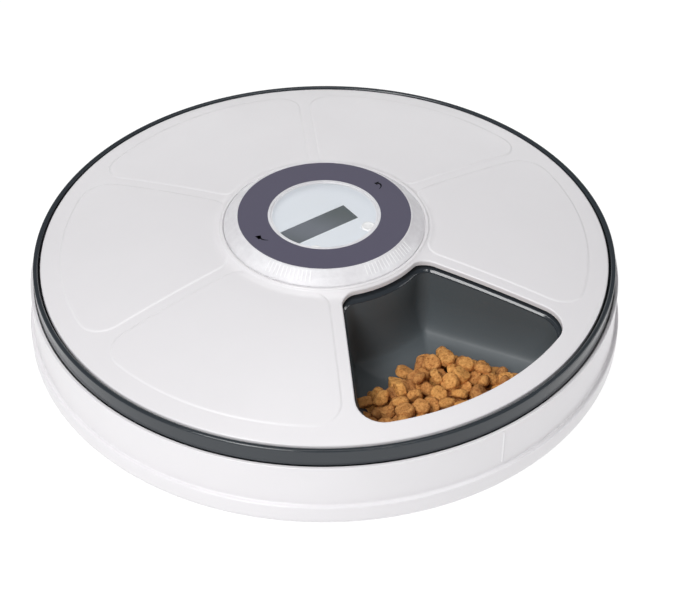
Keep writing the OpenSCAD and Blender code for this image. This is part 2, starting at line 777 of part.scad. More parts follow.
module food_tray() {
    color([0.28, 0.3, 0.33]) difference() {
        union() {
            rotate_extrude() polygon(concat(
                [[bore_low_r, tray_bottom], [bowl_out_r + tray_t, tray_bottom]],
                [[bowl_out_r + tray_t, dome(bowl_out_r + tray_t) - tray_drop - tray_t]],
                [[rim_in_r, dome(rim_in_r) - tray_drop - tray_t], [rim_in_r, rim_bottom]],
                [[rim_r - 0.5, rim_bottom], [rim_r, rim_bottom + 0.5], [rim_r, edge_h - 0.9],
                    [rim_r - 0.9, edge_h], [rim_in_r + 0.6, edge_h], [rim_in_r, edge_h - 0.6]],
                [for (i = [0 : 8]) let (r = rim_in_r + (bore_high_r - rim_in_r) * i / 8)
                    [r, dome(r) - tray_drop]],
                [[bore_high_r, ring_top], [bore_low_r, ring_top]]
            ));
            translate([0, 0, gear_z - clear]) difference() {
                cylinder(r = bore_low_r + cut, h = ring_top - gear_z + clear);
                translate([0, 0, -cut]) linear_extrude(ring_top - gear_z + 3 * cut)
                    polygon(gear_outline(ring_teeth, pitch_r - addendum, ring_root_r, -tooth_play));
            }
            for (i = [0 : meals - 1]) rotate(atan2(lever_tip[1], lever_tip[0]) + i * step_angle)
                box(bore_high_r - cam_h, bore_high_r + cut, -1.5, 1.5, lever_z, lever_z + lever_w);
        }
        compartments(floor_h, edge_h + dome_rise);
        for (i = [0 : meals - 1]) rotate(i * step_angle + step_angle / 2 + serve_angle)
            box(bowl_in_r + 3, bowl_out_r - 3, -divider_half + tray_t, divider_half - tray_t,
                floor_h, dome(bowl_out_r) - tray_drop - tray_t);
        difference() {
            for (i = [0 : meals - 1]) rotate(i * step_angle + step_angle / 2 + serve_angle)
                box(bowl_in_r + 3, bowl_out_r - 3, -divider_half + tray_t, divider_half - tray_t,
                    tray_bottom - cut, floor_h + cut);
            tube(roller_at + track_half, roller_at - track_half, tray_bottom - 2 * cut,
                floor_h + 2 * cut);
        }
    }
}

module kibble() {
    color([0.72, 0.5, 0.28]) rotate(serve_angle) {
        translate([0, 0, floor_h]) linear_extrude(kibble_h)
            polygon(fan(bowl_in_r + kibble_back, bowl_out_r - 0.5, divider_half + 2,
                corner_in / 2, corner_out - 1));
        translate([0, 0, floor_h + kibble_h - 1]) linear_extrude(heap_h + 1)
            polygon(fan(bowl_in_r + heap_back, bowl_out_r - 1.5, divider_half + 8,
                corner_in / 2, corner_out - 2));
    }
}

// ---- lid and cap ----

module lid() {
    seat_z = lid_seat_top - lid_seat_t;
    color([0.9, 0.885, 0.895]) difference() {
        union() {
            rotate_extrude() polygon(concat(
                [[lid_bore_r, seat_z], [collar_out_r, seat_z]],
                dome_line(collar_out_r, lid_r - lid_t - 0.4, -lid_t, 9),
                [[lid_r - lid_t, edge_h - lid_t - 0.4], [lid_r - lid_t, edge_h - 3.4],
                    [lid_r, edge_h - 3.4], [lid_r, edge_h - 0.9], [lid_r - 0.5, edge_h - 0.1]],
                dome_line(lid_r - 1.2, collar_out_r, 0, 9),
                [[collar_out_r, bevel_h - 0.4], [collar_out_r - 0.4, bevel_h],
                    [collar_in_r, bevel_h], [collar_in_r, lid_seat_top], [lid_bore_r, lid_seat_top]]
            ));
            intersection() {
                dome_layer(0, -lip_h);
                rotate(serve_angle) window_prism(1.6, edge_h - 10, edge_h + 30);
            }
            intersection() {
                dome_layer(pad_h, -lid_t / 2);
                for (i = [1 : meals - 1]) rotate(serve_angle + i * step_angle)
                    window_prism(0, edge_h - 10, edge_h + 30);
            }
        }
        rotate(serve_angle) window_prism(0, edge_h - 10, edge_h + 30);
        for (s = [0, 180]) rotate(s) box(-1.8, 1.8, neck_r, neck_r + 3.4, seat_z - cut, lid_seat_top + cut);
    }
}

// A layer of the dome between two heights over its outer face
module dome_layer(top, bottom) {
    rotate_extrude() polygon(concat(
        dome_line(collar_out_r - 0.6, lid_r - 3, bottom, 9),
        dome_line(lid_r - 3, collar_out_r - 0.6, top, 9)
    ));
}

module twist_cap() {
    inner = cap_r - cap_t;
    color([0.85, 0.86, 0.9, 0.4]) {
        rotate_extrude() polygon([
            [0, cap_h - cap_t], [cap_flat_r - 0.8, cap_h - cap_t], [inner, bevel_h - 0.9],
            [inner, lid_seat_top + 0.25], [cap_r, lid_seat_top + 0.25], [cap_r, bevel_h],
            [cap_flat_r + 0.4, cap_h - 0.2], [cap_flat_r, cap_h], [ring_out_r, cap_h],
            [ring_out_r, cap_h - 0.3], [ring_in_r, cap_h - 0.3], [ring_in_r, cap_h], [0, cap_h]
        ]);
        tube(skirt_in_r + 1.6, skirt_in_r, lid_seat_top + 0.3, cap_h - cap_t - 0.5);
        tube(skirt_in_r, skirt_in_r - 1.2, cap_h - cap_t - 0.6, cap_h - cap_t + 0.2);
        bayonet_ring(hook_r, skirt_in_r + 0.3, lid_seat_top + 0.5, neck_h - 2, -lock_turn);
    }
}

module cap_ring() {
    color([0.365, 0.355, 0.415]) tube(ring_out_r - 0.05, ring_in_r + 0.05, cap_h - 0.3, cap_h);
}

base_pan();
base_shell();
rubber_feet();
base_screws();
battery_box();
batteries();
battery_contacts();
battery_door();
hub_column();
hub_screws();
gear_plate();
plate_screws();
drive_gear_pin();
drive_gear();
motor_pinion();
gearbox();
motor();
position_switch();
switch_lever();
control_board();
board_switches();
buzzer();
lcd_module();
lcd_window();
control_panel();
panel_screws();
internal_leads();
button_left();
button_right();
roller_pins();
tray_roller(0);  // tray_roller_1
tray_roller(1);  // tray_roller_2
tray_roller(2);  // tray_roller_3
tray_roller(3);  // tray_roller_4
tray_roller(4);  // tray_roller_5
tray_roller(5);  // tray_roller_6
food_tray();
kibble();
lid();
twist_cap();
cap_ring();
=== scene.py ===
"""Dresses the rotating pet feeder: shell, tray, lid, twist cap, panel, drive and a portion of kibble.

Lengths in the classes are millimetres in the part's own frame: the origin is at the centre of the
footprint, +Z is up and the serving window lies towards -Y. Meshes are scaled to metres at the end.
"""

import logging
import math
import random
from dataclasses import dataclass, field
from enum import Enum
from typing import Iterable

import bmesh
import bpy
from bmesh.types import BMEdge, BMesh, BMVert
from bpy.types import ID, Material, Mesh, Node, NodeSocket, NodeTree, Object
from mathutils import Matrix, Vector, noise


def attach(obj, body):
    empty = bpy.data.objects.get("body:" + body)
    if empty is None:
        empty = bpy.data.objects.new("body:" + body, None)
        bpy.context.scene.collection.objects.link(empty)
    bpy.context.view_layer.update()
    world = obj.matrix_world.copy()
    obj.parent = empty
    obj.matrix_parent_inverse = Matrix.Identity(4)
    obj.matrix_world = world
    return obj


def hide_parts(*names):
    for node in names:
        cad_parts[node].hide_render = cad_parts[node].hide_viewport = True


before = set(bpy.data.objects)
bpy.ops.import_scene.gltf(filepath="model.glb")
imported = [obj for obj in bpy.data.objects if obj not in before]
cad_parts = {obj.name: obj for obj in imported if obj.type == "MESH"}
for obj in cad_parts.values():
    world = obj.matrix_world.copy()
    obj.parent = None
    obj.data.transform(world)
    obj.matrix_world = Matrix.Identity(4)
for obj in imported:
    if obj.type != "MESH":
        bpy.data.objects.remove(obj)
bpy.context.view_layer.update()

MM = 0.001
MEALS = 6
STEP = math.tau / MEALS
SERVE = -math.pi / 2
TONE = "tone"
LOG = logging.getLogger("pet_feeder")

# Vertices nearer than this are merged: in a new piece, in a spin (millimetres) and after a cut (metres).
WELD = 2e-3
SPIN_WELD = 1e-4
CUT_WELD = 1e-7

Profile = list[tuple[float, float]]
Colour = tuple[float, float, float]
Corner = tuple[float, float, float]


class Body(str, Enum):
    """Bodies of the part that the new pieces ride on."""

    BASE = "base"
    TRAY = "tray"
    LID = "lid"
    CAP = "cap"
    LEFT_KEY = "left_key"
    RIGHT_KEY = "right_key"


class KibbleForm(Enum):
    """Forms of the baked food pieces."""

    DISC = "disc"
    OVAL = "oval"
    DIMPLED = "dimpled"
    CORNERED = "cornered"


# ---- mesh helpers ----


def turned(point: Vector, angle: float) -> Vector:
    """Turns a point about the Z axis by an angle in radians."""
    return Matrix.Rotation(angle, 3, "Z") @ point


def polar(radius: float, angle: float, height: float = 0.0) -> Vector:
    """Gives the point at a radius, an angle in radians and a height."""
    return Vector((radius * math.cos(angle), radius * math.sin(angle), height))


def verts_of(made: Iterable[object]) -> list[BMVert]:
    """Picks the vertices out of what an operator made."""
    return [v for v in made if isinstance(v, BMVert)]


def start_ring(bm: BMesh, points: list[Vector]) -> list[BMVert]:
    """Starts a closed ring of edges.

    Args:
        bm: mesh that takes the ring.
        points: corners of the ring, in order.

    Returns:
        The ring's vertices, in order.
    """
    ring = [bm.verts.new(p) for p in points]
    for a, b in zip(ring, ring[1:] + ring[:1]):
        bm.edges.new((a, b))
    return ring


def grow_ring(bm: BMesh, ring: list[BMVert], points: list[Vector]) -> list[BMVert]:
    """Extrudes a closed ring of edges and places each new vertex.

    Args:
        bm: mesh that holds the ring.
        ring: vertices of the ring, in order.
        points: places of the new vertices, one for each old one.

    Returns:
        The new ring's vertices, in order.
    """
    edges = [bm.edges.get((a, b)) for a, b in zip(ring, ring[1:] + ring[:1])]
    fresh = set(verts_of(bmesh.ops.extrude_edge_only(bm, edges=edges)["geom"]))
    grown = []
    for vert, point in zip(ring, points):
        twin = next(e.other_vert(vert) for e in vert.link_edges if e.other_vert(vert) in fresh)
        twin.co = point
        grown.append(twin)
    return grown


def close_ring(bm: BMesh, ring: list[BMVert]) -> None:
    """Closes a ring with one face."""
    bmesh.ops.contextual_create(bm, geom=ring)


def open_edges(bm: BMesh, radius: float, low: float, high: float) -> list[BMEdge]:
    """Finds the open edges of a mesh that lie on a circle about the Z axis.

    Args:
        bm: mesh to look in.
        radius: radius of the circle.
        low: lowest height of the edges.
        high: highest height of the edges.

    Returns:
        The edges found.
    """

    def near(vert: BMVert) -> bool:
        """Says whether a vertex is on the circle."""
        slack = 0.05
        return abs(vert.co.xy.length - radius) < slack and low <= vert.co.z <= high

    return [e for e in bm.edges if e.is_boundary and near(e.verts[0]) and near(e.verts[1])]


def run_profile(bm: BMesh, edges: list[BMEdge], profile: Profile) -> list[BMEdge]:
    """Extrudes a round loop of edges along a profile, one step for each of its points.

    Args:
        bm: mesh that holds the loop.
        edges: edges of the loop.
        profile: radius and height of each step.

    Returns:
        The last loop's edges.
    """
    for radius, height in profile:
        made = bmesh.ops.extrude_edge_only(bm, edges=edges)["geom"]
        fresh = set(verts_of(made))
        for vert in fresh:
            flat = vert.co.xy.normalized() * radius
            vert.co = (flat.x, flat.y, height)
        edges = [e for e in made if isinstance(e, BMEdge) and set(e.verts) <= fresh]
    return edges


def spin_profile(bm: BMesh, profile: Profile, steps: int, closed: bool = True) -> list[BMVert]:
    """Turns a profile once round the Z axis.

    Args:
        bm: mesh that takes the turned shape.
        profile: radius and height of its points.
        steps: number of steps in the turn.
        closed: whether the last point joins the first.

    Returns:
        The vertices made.
    """
    before = set(bm.verts)
    verts = [bm.verts.new((r, 0.0, z)) for r, z in profile]
    pairs = zip(verts, verts[1:] + (verts[:1] if closed else []))
    edges = [bm.edges.new(pair) for pair in pairs]
    bmesh.ops.spin(
        bm, geom=verts + edges, cent=(0, 0, 0), axis=(0, 0, 1), angle=math.tau,
        steps=steps, use_merge=True, use_duplicate=False,
    )
    made = [v for v in bm.verts if v not in before]
    bmesh.ops.remove_doubles(bm, verts=made, dist=SPIN_WELD)
    return [v for v in bm.verts if v not in before]


def rounded(profile: list[tuple[float, float, float]], steps: int = 4) -> Profile:
    """Rounds the corners of a closed profile.

    Args:
        profile: radius, height and corner radius of each corner.
        steps: number of steps in each rounding.

    Returns:
        The profile's points.
    """
    out: Profile = []
    most = 0.49
    count = len(profile)
    for i, (r, z, round_r) in enumerate(profile):
        here = Vector((r, z))
        if round_r <= 0:
            out.append((r, z))
            continue
        before = Vector(profile[i - 1][:2]) - here
        after = Vector(profile[(i + 1) % count][:2]) - here
        half = before.angle(after) / 2
        cut = min(round_r / math.tan(half), before.length * most, after.length * most)
        radius = cut * math.tan(half)
        centre = here + (before.normalized() + after.normalized()).normalized() * radius / math.sin(half)
        first, last = here + before.normalized() * cut - centre, here + after.normalized() * cut - centre
        begin = math.atan2(first.y, first.x)
        sweep = math.remainder(math.atan2(last.y, last.x) - begin, math.tau)
        for k in range(steps + 1):
            angle = begin + sweep * k / steps
            out.append((centre.x + radius * math.cos(angle), centre.y + radius * math.sin(angle)))
    return out


def add_box(bm: BMesh, low: Corner, high: Corner) -> list[BMVert]:
    """Adds a box.

    Args:
        bm: mesh that takes it.
        low: lowest corner.
        high: highest corner.

    Returns:
        Its vertices.
    """
    size = Vector(high) - Vector(low)
    middle = (Vector(high) + Vector(low)) / 2
    place = Matrix.Translation(middle) @ Matrix.Diagonal((*size, 1))
    return bmesh.ops.create_cube(bm, size=1, matrix=place)["verts"]


def add_rod(
    bm: BMesh, radius: float, low: float, high: float, at: Vector, steps: int = 48
) -> list[BMVert]:
    """Adds an upright round rod.

    Args:
        bm: mesh that takes it.
        radius: its radius.
        low: height of its foot.
        high: height of its top.
        at: its place in plan.
        steps: number of its sides.

    Returns:
        Its vertices.
    """
    place = Matrix.Translation((at.x, at.y, (low + high) / 2))
    return bmesh.ops.create_cone(
        bm, cap_ends=True, segments=steps, radius1=radius, radius2=radius,
        depth=high - low, matrix=place,
    )["verts"]


def soften(bm: BMesh, edges: list[BMEdge], width: float, segments: int = 3) -> None:
    """Bevels edges to a small radius."""
    bmesh.ops.bevel(
        bm, geom=edges, offset=width, offset_type="OFFSET", segments=segments,
        profile=0.5, affect="EDGES", clamp_overlap=True, material=-1, loop_slide=True,
    )


def sharp_edges(bm: BMesh, degrees: float = 40) -> list[BMEdge]:
    """Finds the edges whose faces meet at more than an angle."""
    limit = math.radians(degrees)
    return [e for e in bm.edges if len(e.link_faces) == 2 and e.calc_face_angle(0) > limit]


def set_creases(bm: BMesh, degrees: float) -> None:
    """Keeps edges sharp in the shading where their faces meet at more than an angle."""
    limit = math.radians(degrees)
    for edge in bm.edges:
        edge.smooth = len(edge.link_faces) == 2 and edge.calc_face_angle(0) < limit


def freed_mesh(bm: BMesh, name: str) -> Mesh:
    """Writes a bmesh to a new mesh and frees it."""
    mesh = bpy.data.meshes.new(name)
    bm.to_mesh(mesh)
    bm.free()
    return mesh


def link_object(name: str, data: ID) -> Object:
    """Makes an object of its data and links it to the scene."""
    made = bpy.data.objects.new(name, data)
    bpy.context.scene.collection.objects.link(made)
    return made


def make_piece(bm: BMesh, name: str, crease: float = 35, outward: bool = True) -> Object:
    """Turns a mesh in millimetres into an object at the origin, in metres.

    Args:
        bm: mesh, which is freed.
        name: name of the piece.
        crease: angle in degrees past which an edge stays sharp in the shading.
        outward: whether the faces are turned outwards first.

    Returns:
        The object.
    """
    bmesh.ops.remove_doubles(bm, verts=bm.verts, dist=WELD)
    if outward:
        bmesh.ops.recalc_face_normals(bm, faces=bm.faces)
    for face in bm.faces:
        face.smooth = True
    set_creases(bm, crease)
    bmesh.ops.scale(bm, vec=(MM, MM, MM), verts=bm.verts)
    return link_object(name, freed_mesh(bm, name))


def even_shading(piece: Object) -> Object:
    """Keeps large flat faces flat in the shading and bends only the small ones."""
    weighted = piece.modifiers.new("even_shading", "WEIGHTED_NORMAL")
    weighted.keep_sharp = True
    weighted.weight = 60
    return piece


def carve(piece: Object, cutter: Object, crease: float = 35, overlapping: bool = False) -> None:
    """Cuts one mesh out of another and keeps the result.

    Args:
        piece: the object that is cut.
        cutter: the object that cuts, which is removed.
        crease: angle in degrees past which an edge stays sharp in the shading.
        overlapping: whether the cutter's own solids overlap.
    """
    cut = piece.modifiers.new("carve", "BOOLEAN")
    cut.operation, cut.solver, cut.object = "DIFFERENCE", "EXACT", cutter
    cut.use_self = overlapping
    graph = bpy.context.evaluated_depsgraph_get()
    mesh = bpy.data.meshes.new_from_object(piece.evaluated_get(graph))
    piece.modifiers.clear()
    bm = bmesh.new()
    bm.from_mesh(mesh)
    bmesh.ops.remove_doubles(bm, verts=bm.verts, dist=CUT_WELD)
    set_creases(bm, crease)
    bm.to_mesh(mesh)
    bm.free()
    piece.data = mesh
    bpy.data.objects.remove(cutter)


def settle_piece(piece: Object, body: Body, slot: str, material: Material, *nodes: str) -> None:
    """Puts a finish on a piece, joins it to its body and hides the CAD nodes it stands for.

    Args:
        piece: the finished piece.
        body: body that it rides on.
        slot: not used.
        material: its finish.
        nodes: CAD nodes that it replaces.
    """
    if not piece.data.materials:
        piece.data.materials.append(material)
    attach(piece, body.value)
    if nodes:
        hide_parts(*nodes)
    LOG.info("%s: %d faces on %s", piece.name, len(piece.data.polygons), body.value)


# ---- finishes ----


def new_group(name: str, inputs: dict[str, float | None], outputs: Iterable[str]) -> NodeTree:
    """Makes an empty shader group.

    Args:
        name: name of the group.
        inputs: each input's default, or None for a vector.
        outputs: names of its number outputs.

    Returns:
        The group, with an input and an output node named GroupIn and GroupOut.
    """
    group = bpy.data.node_groups.new(name, "ShaderNodeTree")
    for label, default in inputs.items():
        kind = "NodeSocketVector" if default is None else "NodeSocketFloat"
        socket = group.interface.new_socket(name=label, in_out="INPUT", socket_type=kind)
        if default is not None:
            socket.default_value = default
    for label in outputs:
        group.interface.new_socket(name=label, in_out="OUTPUT", socket_type="NodeSocketFloat")
    group.nodes.new("NodeGroupInput").name = "GroupIn"
    group.nodes.new("NodeGroupOutput").name = "GroupOut"
    return group


def add_node(
    tree: NodeTree, kind: str, values: dict | None = None, sources: dict | None = None,
    **settings: object
) -> Node:
    """Adds a shader node, sets its inputs and feeds them.

    Args:
        tree: node tree that takes it.
        kind: type of the node.
        values: constants of its inputs, by name or number.
        sources: sockets that feed its inputs, by name or number.
        settings: its other settings, such as the operation.

    Returns:
        The node.
    """
    node = tree.nodes.new(kind)
    for name, setting in settings.items():
        setattr(node, name, setting)
    for label, value in (values or {}).items():
        node.inputs[label].default_value = value
    for label, socket in (sources or {}).items():
        tree.links.new(socket, node.inputs[label])
    return node


def mix_colours(
    tree: NodeTree, share: NodeSocket, first: Colour | NodeSocket, second: Colour
) -> NodeSocket:
    """Blends two colours by a mask.

    Args:
        tree: node tree that takes the mix.
        share: mask, 1 for the second colour.
        first: first colour, or the socket that gives it.
        second: second colour.

    Returns:
        The blended colour's socket.
    """
    values, sources = {"B": (*second, 1)}, {"Factor": share}
    if isinstance(first, NodeSocket):
        sources["A"] = first
    else:
        values["A"] = (*first, 1)
    return add_node(tree, "ShaderNodeMix", values, sources, data_type="RGBA").outputs["Result"]


def new_material(name: str, **plain: object) -> tuple[Material, Node]:
    """Makes a material and sets the plain sockets of its shader.

    Args:
        name: name of the material.
        plain: constants of the shader, with _ for each space in a socket's name.

    Returns:
        The material and its shader.
    """
    material = bpy.data.materials.new(name)
    material.use_nodes = True
    shader = material.node_tree.nodes["Principled BSDF"]
    for label, value in plain.items():
        shader.inputs[label.replace("_", " ")].default_value = value
    return material, shader


class SurfaceEffects:
    """Shared effects as shader groups, each built once."""

    _made: dict[str, NodeTree] = {}

    @classmethod
    def grain(cls) -> NodeTree:
        """Gives the group for moulded grain: a shade and a height."""
        if "grain" in cls._made:
            return cls._made["grain"]
        group = new_group("MouldedGrain", {"Vector": None, "Scale": 400.0}, ("Shade", "Height"))
        source, sink = group.nodes["GroupIn"].outputs, group.nodes["GroupOut"].inputs
        broad = add_node(
            group, "ShaderNodeTexNoise", {"Scale": 22, "Detail": 5}, {"Vector": source["Vector"]})
        fine = add_node(
            group, "ShaderNodeTexNoise", {"Detail": 3, "Roughness": 0.6},
            {"Vector": source["Vector"], "Scale": source["Scale"]})
        blend = add_node(
            group, "ShaderNodeMath", {1: 0.35}, {0: fine.outputs["Fac"], 2: broad.outputs["Fac"]},
            operation="MULTIPLY_ADD")
        spread = add_node(
            group, "ShaderNodeMapRange", {"From Min": 0.45, "From Max": 0.9},
            {"Value": blend.outputs[0]})
        group.links.new(spread.outputs["Result"], sink["Shade"])
        group.links.new(fine.outputs["Fac"], sink["Height"])
        cls._made["grain"] = group
        return group

    @classmethod
    def dust(cls) -> NodeTree:
        """Gives the group for fine dust that settles on faces that look up."""
        if "dust" in cls._made:
            return cls._made["dust"]
        group = new_group("SettledDust", {"Vector": None, "Normal": None}, ("Dust",))
        source, sink = group.nodes["GroupIn"].outputs, group.nodes["GroupOut"].inputs
        axes = add_node(group, "ShaderNodeSeparateXYZ", None, {0: source["Normal"]})
        patches = add_node(
            group, "ShaderNodeTexNoise", {"Scale": 38, "Detail": 8, "Roughness": 0.7},
            {"Vector": source["Vector"]})
        up = add_node(group, "ShaderNodeMapRange", {"From Min": 0.35}, {"Value": axes.outputs["Z"]})
        spread = add_node(
            group, "ShaderNodeMapRange", {"From Min": 0.5, "From Max": 0.8},
            {"Value": patches.outputs["Fac"]})
        both = add_node(
            group, "ShaderNodeMath", None, {0: up.outputs["Result"], 1: spread.outputs["Result"]},
            operation="MULTIPLY")
        group.links.new(both.outputs[0], sink["Dust"])
        cls._made["dust"] = group
        return group


def let_light_through(tree: NodeTree, shader: Node, share: float) -> None:
    """Lets a share of the light fall straight through to what lies under a clear piece.

    Args:
        tree: node tree of the material.
        shader: its shader.
        share: how much of the light passes.
    """
    path = add_node(tree, "ShaderNodeLightPath").outputs
    ray = add_node(
        tree, "ShaderNodeMath", None, {0: path["Is Shadow Ray"], 1: path["Is Diffuse Ray"]},
        operation="MAXIMUM")
    part = add_node(
        tree, "ShaderNodeMath", {1: share}, {0: ray.outputs["Value"]}, operation="MULTIPLY")
    clear = add_node(tree, "ShaderNodeBsdfTransparent")
    both = add_node(
        tree, "ShaderNodeMixShader", None,
        {"Fac": part.outputs["Value"], 1: shader.outputs["BSDF"], 2: clear.outputs["BSDF"]})
    tree.links.new(both.outputs["Shader"], tree.nodes["Material Output"].inputs["Surface"])


@dataclass(frozen=True)
class Finish:
    """A moulded, printed or metal finish with grain, and dust where it has some."""

    name: str
    colour: Colour
    roughness: float = 0.4
    metallic: float = 0.0
    mottle: float = 0.04
    gloss_change: float = 0.06
    grain_scale: float = 500.0
    grain_depth: float = 0.006
    dust: float = 0.0
    coat: float = 0.0
    coat_roughness: float = 0.12
    passes: float = 0.0
    specular: float = 0.5
    bump: float = 0.6
    dust_colour: Colour = (0.55, 0.53, 0.5)

    def make(self) -> Material:
        """Builds the material.

        Returns:
            The material.
        """
        material, shader = new_material(
            self.name, Metallic=self.metallic, Coat_Weight=self.coat,
            Coat_Roughness=self.coat_roughness, Specular_IOR_Level=self.specular)
        tree = material.node_tree
        place = add_node(tree, "ShaderNodeTexCoord").outputs["Object"]
        grain = add_node(
            tree, "ShaderNodeGroup", {"Scale": self.grain_scale}, {"Vector": place},
            node_tree=SurfaceEffects.grain()).outputs
        colour = self.colour_socket(tree, grain["Shade"], place)
        if self.dust > 0:
            colour = self.add_dust(tree, place, colour)
        tree.links.new(colour, shader.inputs["Base Color"])
        half = self.gloss_change / 2
        gloss = add_node(
            tree, "ShaderNodeMapRange",
            {"To Min": self.roughness + half, "To Max": self.roughness - half},
            {"Value": grain["Shade"]})
        tree.links.new(gloss.outputs["Result"], shader.inputs["Roughness"])
        relief = add_node(
            tree, "ShaderNodeBump", {"Strength": self.bump, "Distance": self.grain_depth * MM * 10},
            {"Height": grain["Height"]})
        tree.links.new(relief.outputs["Normal"], shader.inputs["Normal"])
        if self.passes > 0:
            let_light_through(tree, shader, self.passes)
        return material

    def colour_socket(self, tree: NodeTree, shade: NodeSocket, place: NodeSocket) -> NodeSocket:
        """Mixes the colour's lighter and darker shades by the grain.

        Args:
            tree: node tree of the material.
            shade: the grain's shade.
            place: the point on the piece, for the finishes that draw a pattern.

        Returns:
            The colour's socket.
        """
        dark = [c * (1 - self.mottle) for c in self.colour]
        light = [min(1.0, c * (1 + self.mottle)) for c in self.colour]
        return mix_colours(tree, shade, tuple(dark), tuple(light))

    def add_dust(self, tree: NodeTree, place: NodeSocket, colour: NodeSocket) -> NodeSocket:
        """Lays dust over a colour.

        Args:
            tree: node tree of the material.
            place: the point on the piece.
            colour: the colour under the dust.

        Returns:
            The colour's socket.
        """
        facing = add_node(tree, "ShaderNodeNewGeometry").outputs["Normal"]
        dust = add_node(
            tree, "ShaderNodeGroup", None, {"Vector": place, "Normal": facing},
            node_tree=SurfaceEffects.dust())
        share = add_node(
            tree, "ShaderNodeMath", {1: self.dust}, {0: dust.outputs["Dust"]}, operation="MULTIPLY")
        return mix_colours(tree, share.outputs[0], colour, self.dust_colour)


@dataclass(frozen=True)
class ClearFinish:
    """Clear or frosted plastic that lets light through to what lies under it."""

    name: str
    colour: Colour
    roughness: float
    haze: float
    haze_colour: Colour = (0.9, 0.9, 0.92)
    grain_scale: float = 300.0
    rougher: float = 1.5
    least_change: float = 0.01
    bending: float = 1.45

    def make(self) -> Material:
        """Builds the material: a see-through shader and a plain pass for shadow and diffuse rays.

        Returns:
            The material.
        """
        material, shader = new_material(self.name, Transmission_Weight=1.0 - self.haze, IOR=self.bending)
        tree = material.node_tree
        place = add_node(tree, "ShaderNodeTexCoord").outputs["Object"]
        shade = add_node(
            tree, "ShaderNodeGroup", {"Scale": self.grain_scale}, {"Vector": place},
            node_tree=SurfaceEffects.grain()).outputs["Shade"]
        colour = mix_colours(tree, shade, self.colour, self.haze_colour)
        tree.links.new(colour, shader.inputs["Base Color"])
        rough = self.roughness * self.rougher + self.least_change
        gloss = add_node(
            tree, "ShaderNodeMapRange", {"To Min": self.roughness, "To Max": rough}, {"Value": shade})
        tree.links.new(gloss.outputs["Result"], shader.inputs["Roughness"])
        let_light_through(tree, shader, 1.0)
        return material


@dataclass(frozen=True)
class KibbleFinish(Finish):
    """Baked food: a rough crust with lighter crumbs, a tone of its own on each piece."""

    crust: Colour = (0.27, 0.092, 0.022)
    crumb: Colour = (0.75, 0.4, 0.13)
    crust_until: float = 0.34
    body_at: float = 0.5
    crumb_from: float = 0.68

    def colour_socket(self, tree: NodeTree, shade: NodeSocket, place: NodeSocket) -> NodeSocket:
        """Mixes crust, body and crumbs, and shifts the whole by each piece's tone.

        Args:
            tree: node tree of the material.
            shade: the grain's shade, which the crumbs take the place of.
            place: the point on the piece.

        Returns:
            The colour's socket.
        """
        spots = add_node(
            tree, "ShaderNodeTexNoise", {"Scale": 620, "Detail": 6, "Roughness": 0.75},
            {"Vector": place})
        ramp = add_node(tree, "ShaderNodeValToRGB", None, {"Fac": spots.outputs["Fac"]})
        stops = ramp.color_ramp.elements
        stops[0].position, stops[0].color = self.crust_until, (*self.crust, 1)
        stops[1].position, stops[1].color = self.crumb_from, (*self.crumb, 1)
        stops.new(self.body_at).color = (*self.colour, 1)
        tone = add_node(tree, "ShaderNodeAttribute", attribute_name=TONE).outputs["Fac"]
        shift = add_node(tree, "ShaderNodeHueSaturation", None, {"Color": ramp.outputs["Color"]})
        for label, low, high in (("Value", 0.78, 1.22), ("Hue", 0.493, 0.503)):
            span = add_node(tree, "ShaderNodeMapRange", {"To Min": low, "To Max": high}, {"Value": tone})
            tree.links.new(span.outputs["Result"], shift.inputs[label])
        return shift.outputs["Color"]


@dataclass(frozen=True)
class BandedFinish(Finish):
    """A colour with a second one in bands along X, as on the jacket of a cell."""

    second: Colour = (0.6, 0.35, 0.12)
    edge: float = 12.0

    def colour_socket(self, tree: NodeTree, shade: NodeSocket, place: NodeSocket) -> NodeSocket:
        """Changes the colour past a plane across X.

        Args:
            tree: node tree of the material.
            shade: the grain's shade.
            place: the point on the piece.

        Returns:
            The colour's socket.
        """
        axes = add_node(tree, "ShaderNodeSeparateXYZ", None, {0: place})
        past = add_node(
            tree, "ShaderNodeMath", {1: self.edge * MM}, {0: axes.outputs["X"]},
            operation="GREATER_THAN")
        plain = super().colour_socket(tree, shade, place)
        return mix_colours(tree, past.outputs[0], plain, self.second)


@dataclass(frozen=True)
class BoardFinish(Finish):
    """Circuit board lacquer with copper tracks under it."""

    track: Colour = (0.1, 0.3, 0.12)

    def colour_socket(self, tree: NodeTree, shade: NodeSocket, place: NodeSocket) -> NodeSocket:
        """Draws the tracks as the borders of square cells.

        Args:
            tree: node tree of the material.
            shade: the grain's shade.
            place: the point on the piece.

        Returns:
            The colour's socket.
        """
        cells = add_node(
            tree, "ShaderNodeTexVoronoi", {"Scale": 140, "Randomness": 0.35}, {"Vector": place},
            feature="F1", distance="CHEBYCHEV")
        line = add_node(
            tree, "ShaderNodeMapRange", {"From Min": 0.42, "From Max": 0.5},
            {"Value": cells.outputs["Distance"]})
        plain = super().colour_socket(tree, shade, place)
        return mix_colours(tree, line.outputs["Result"], plain, self.track)


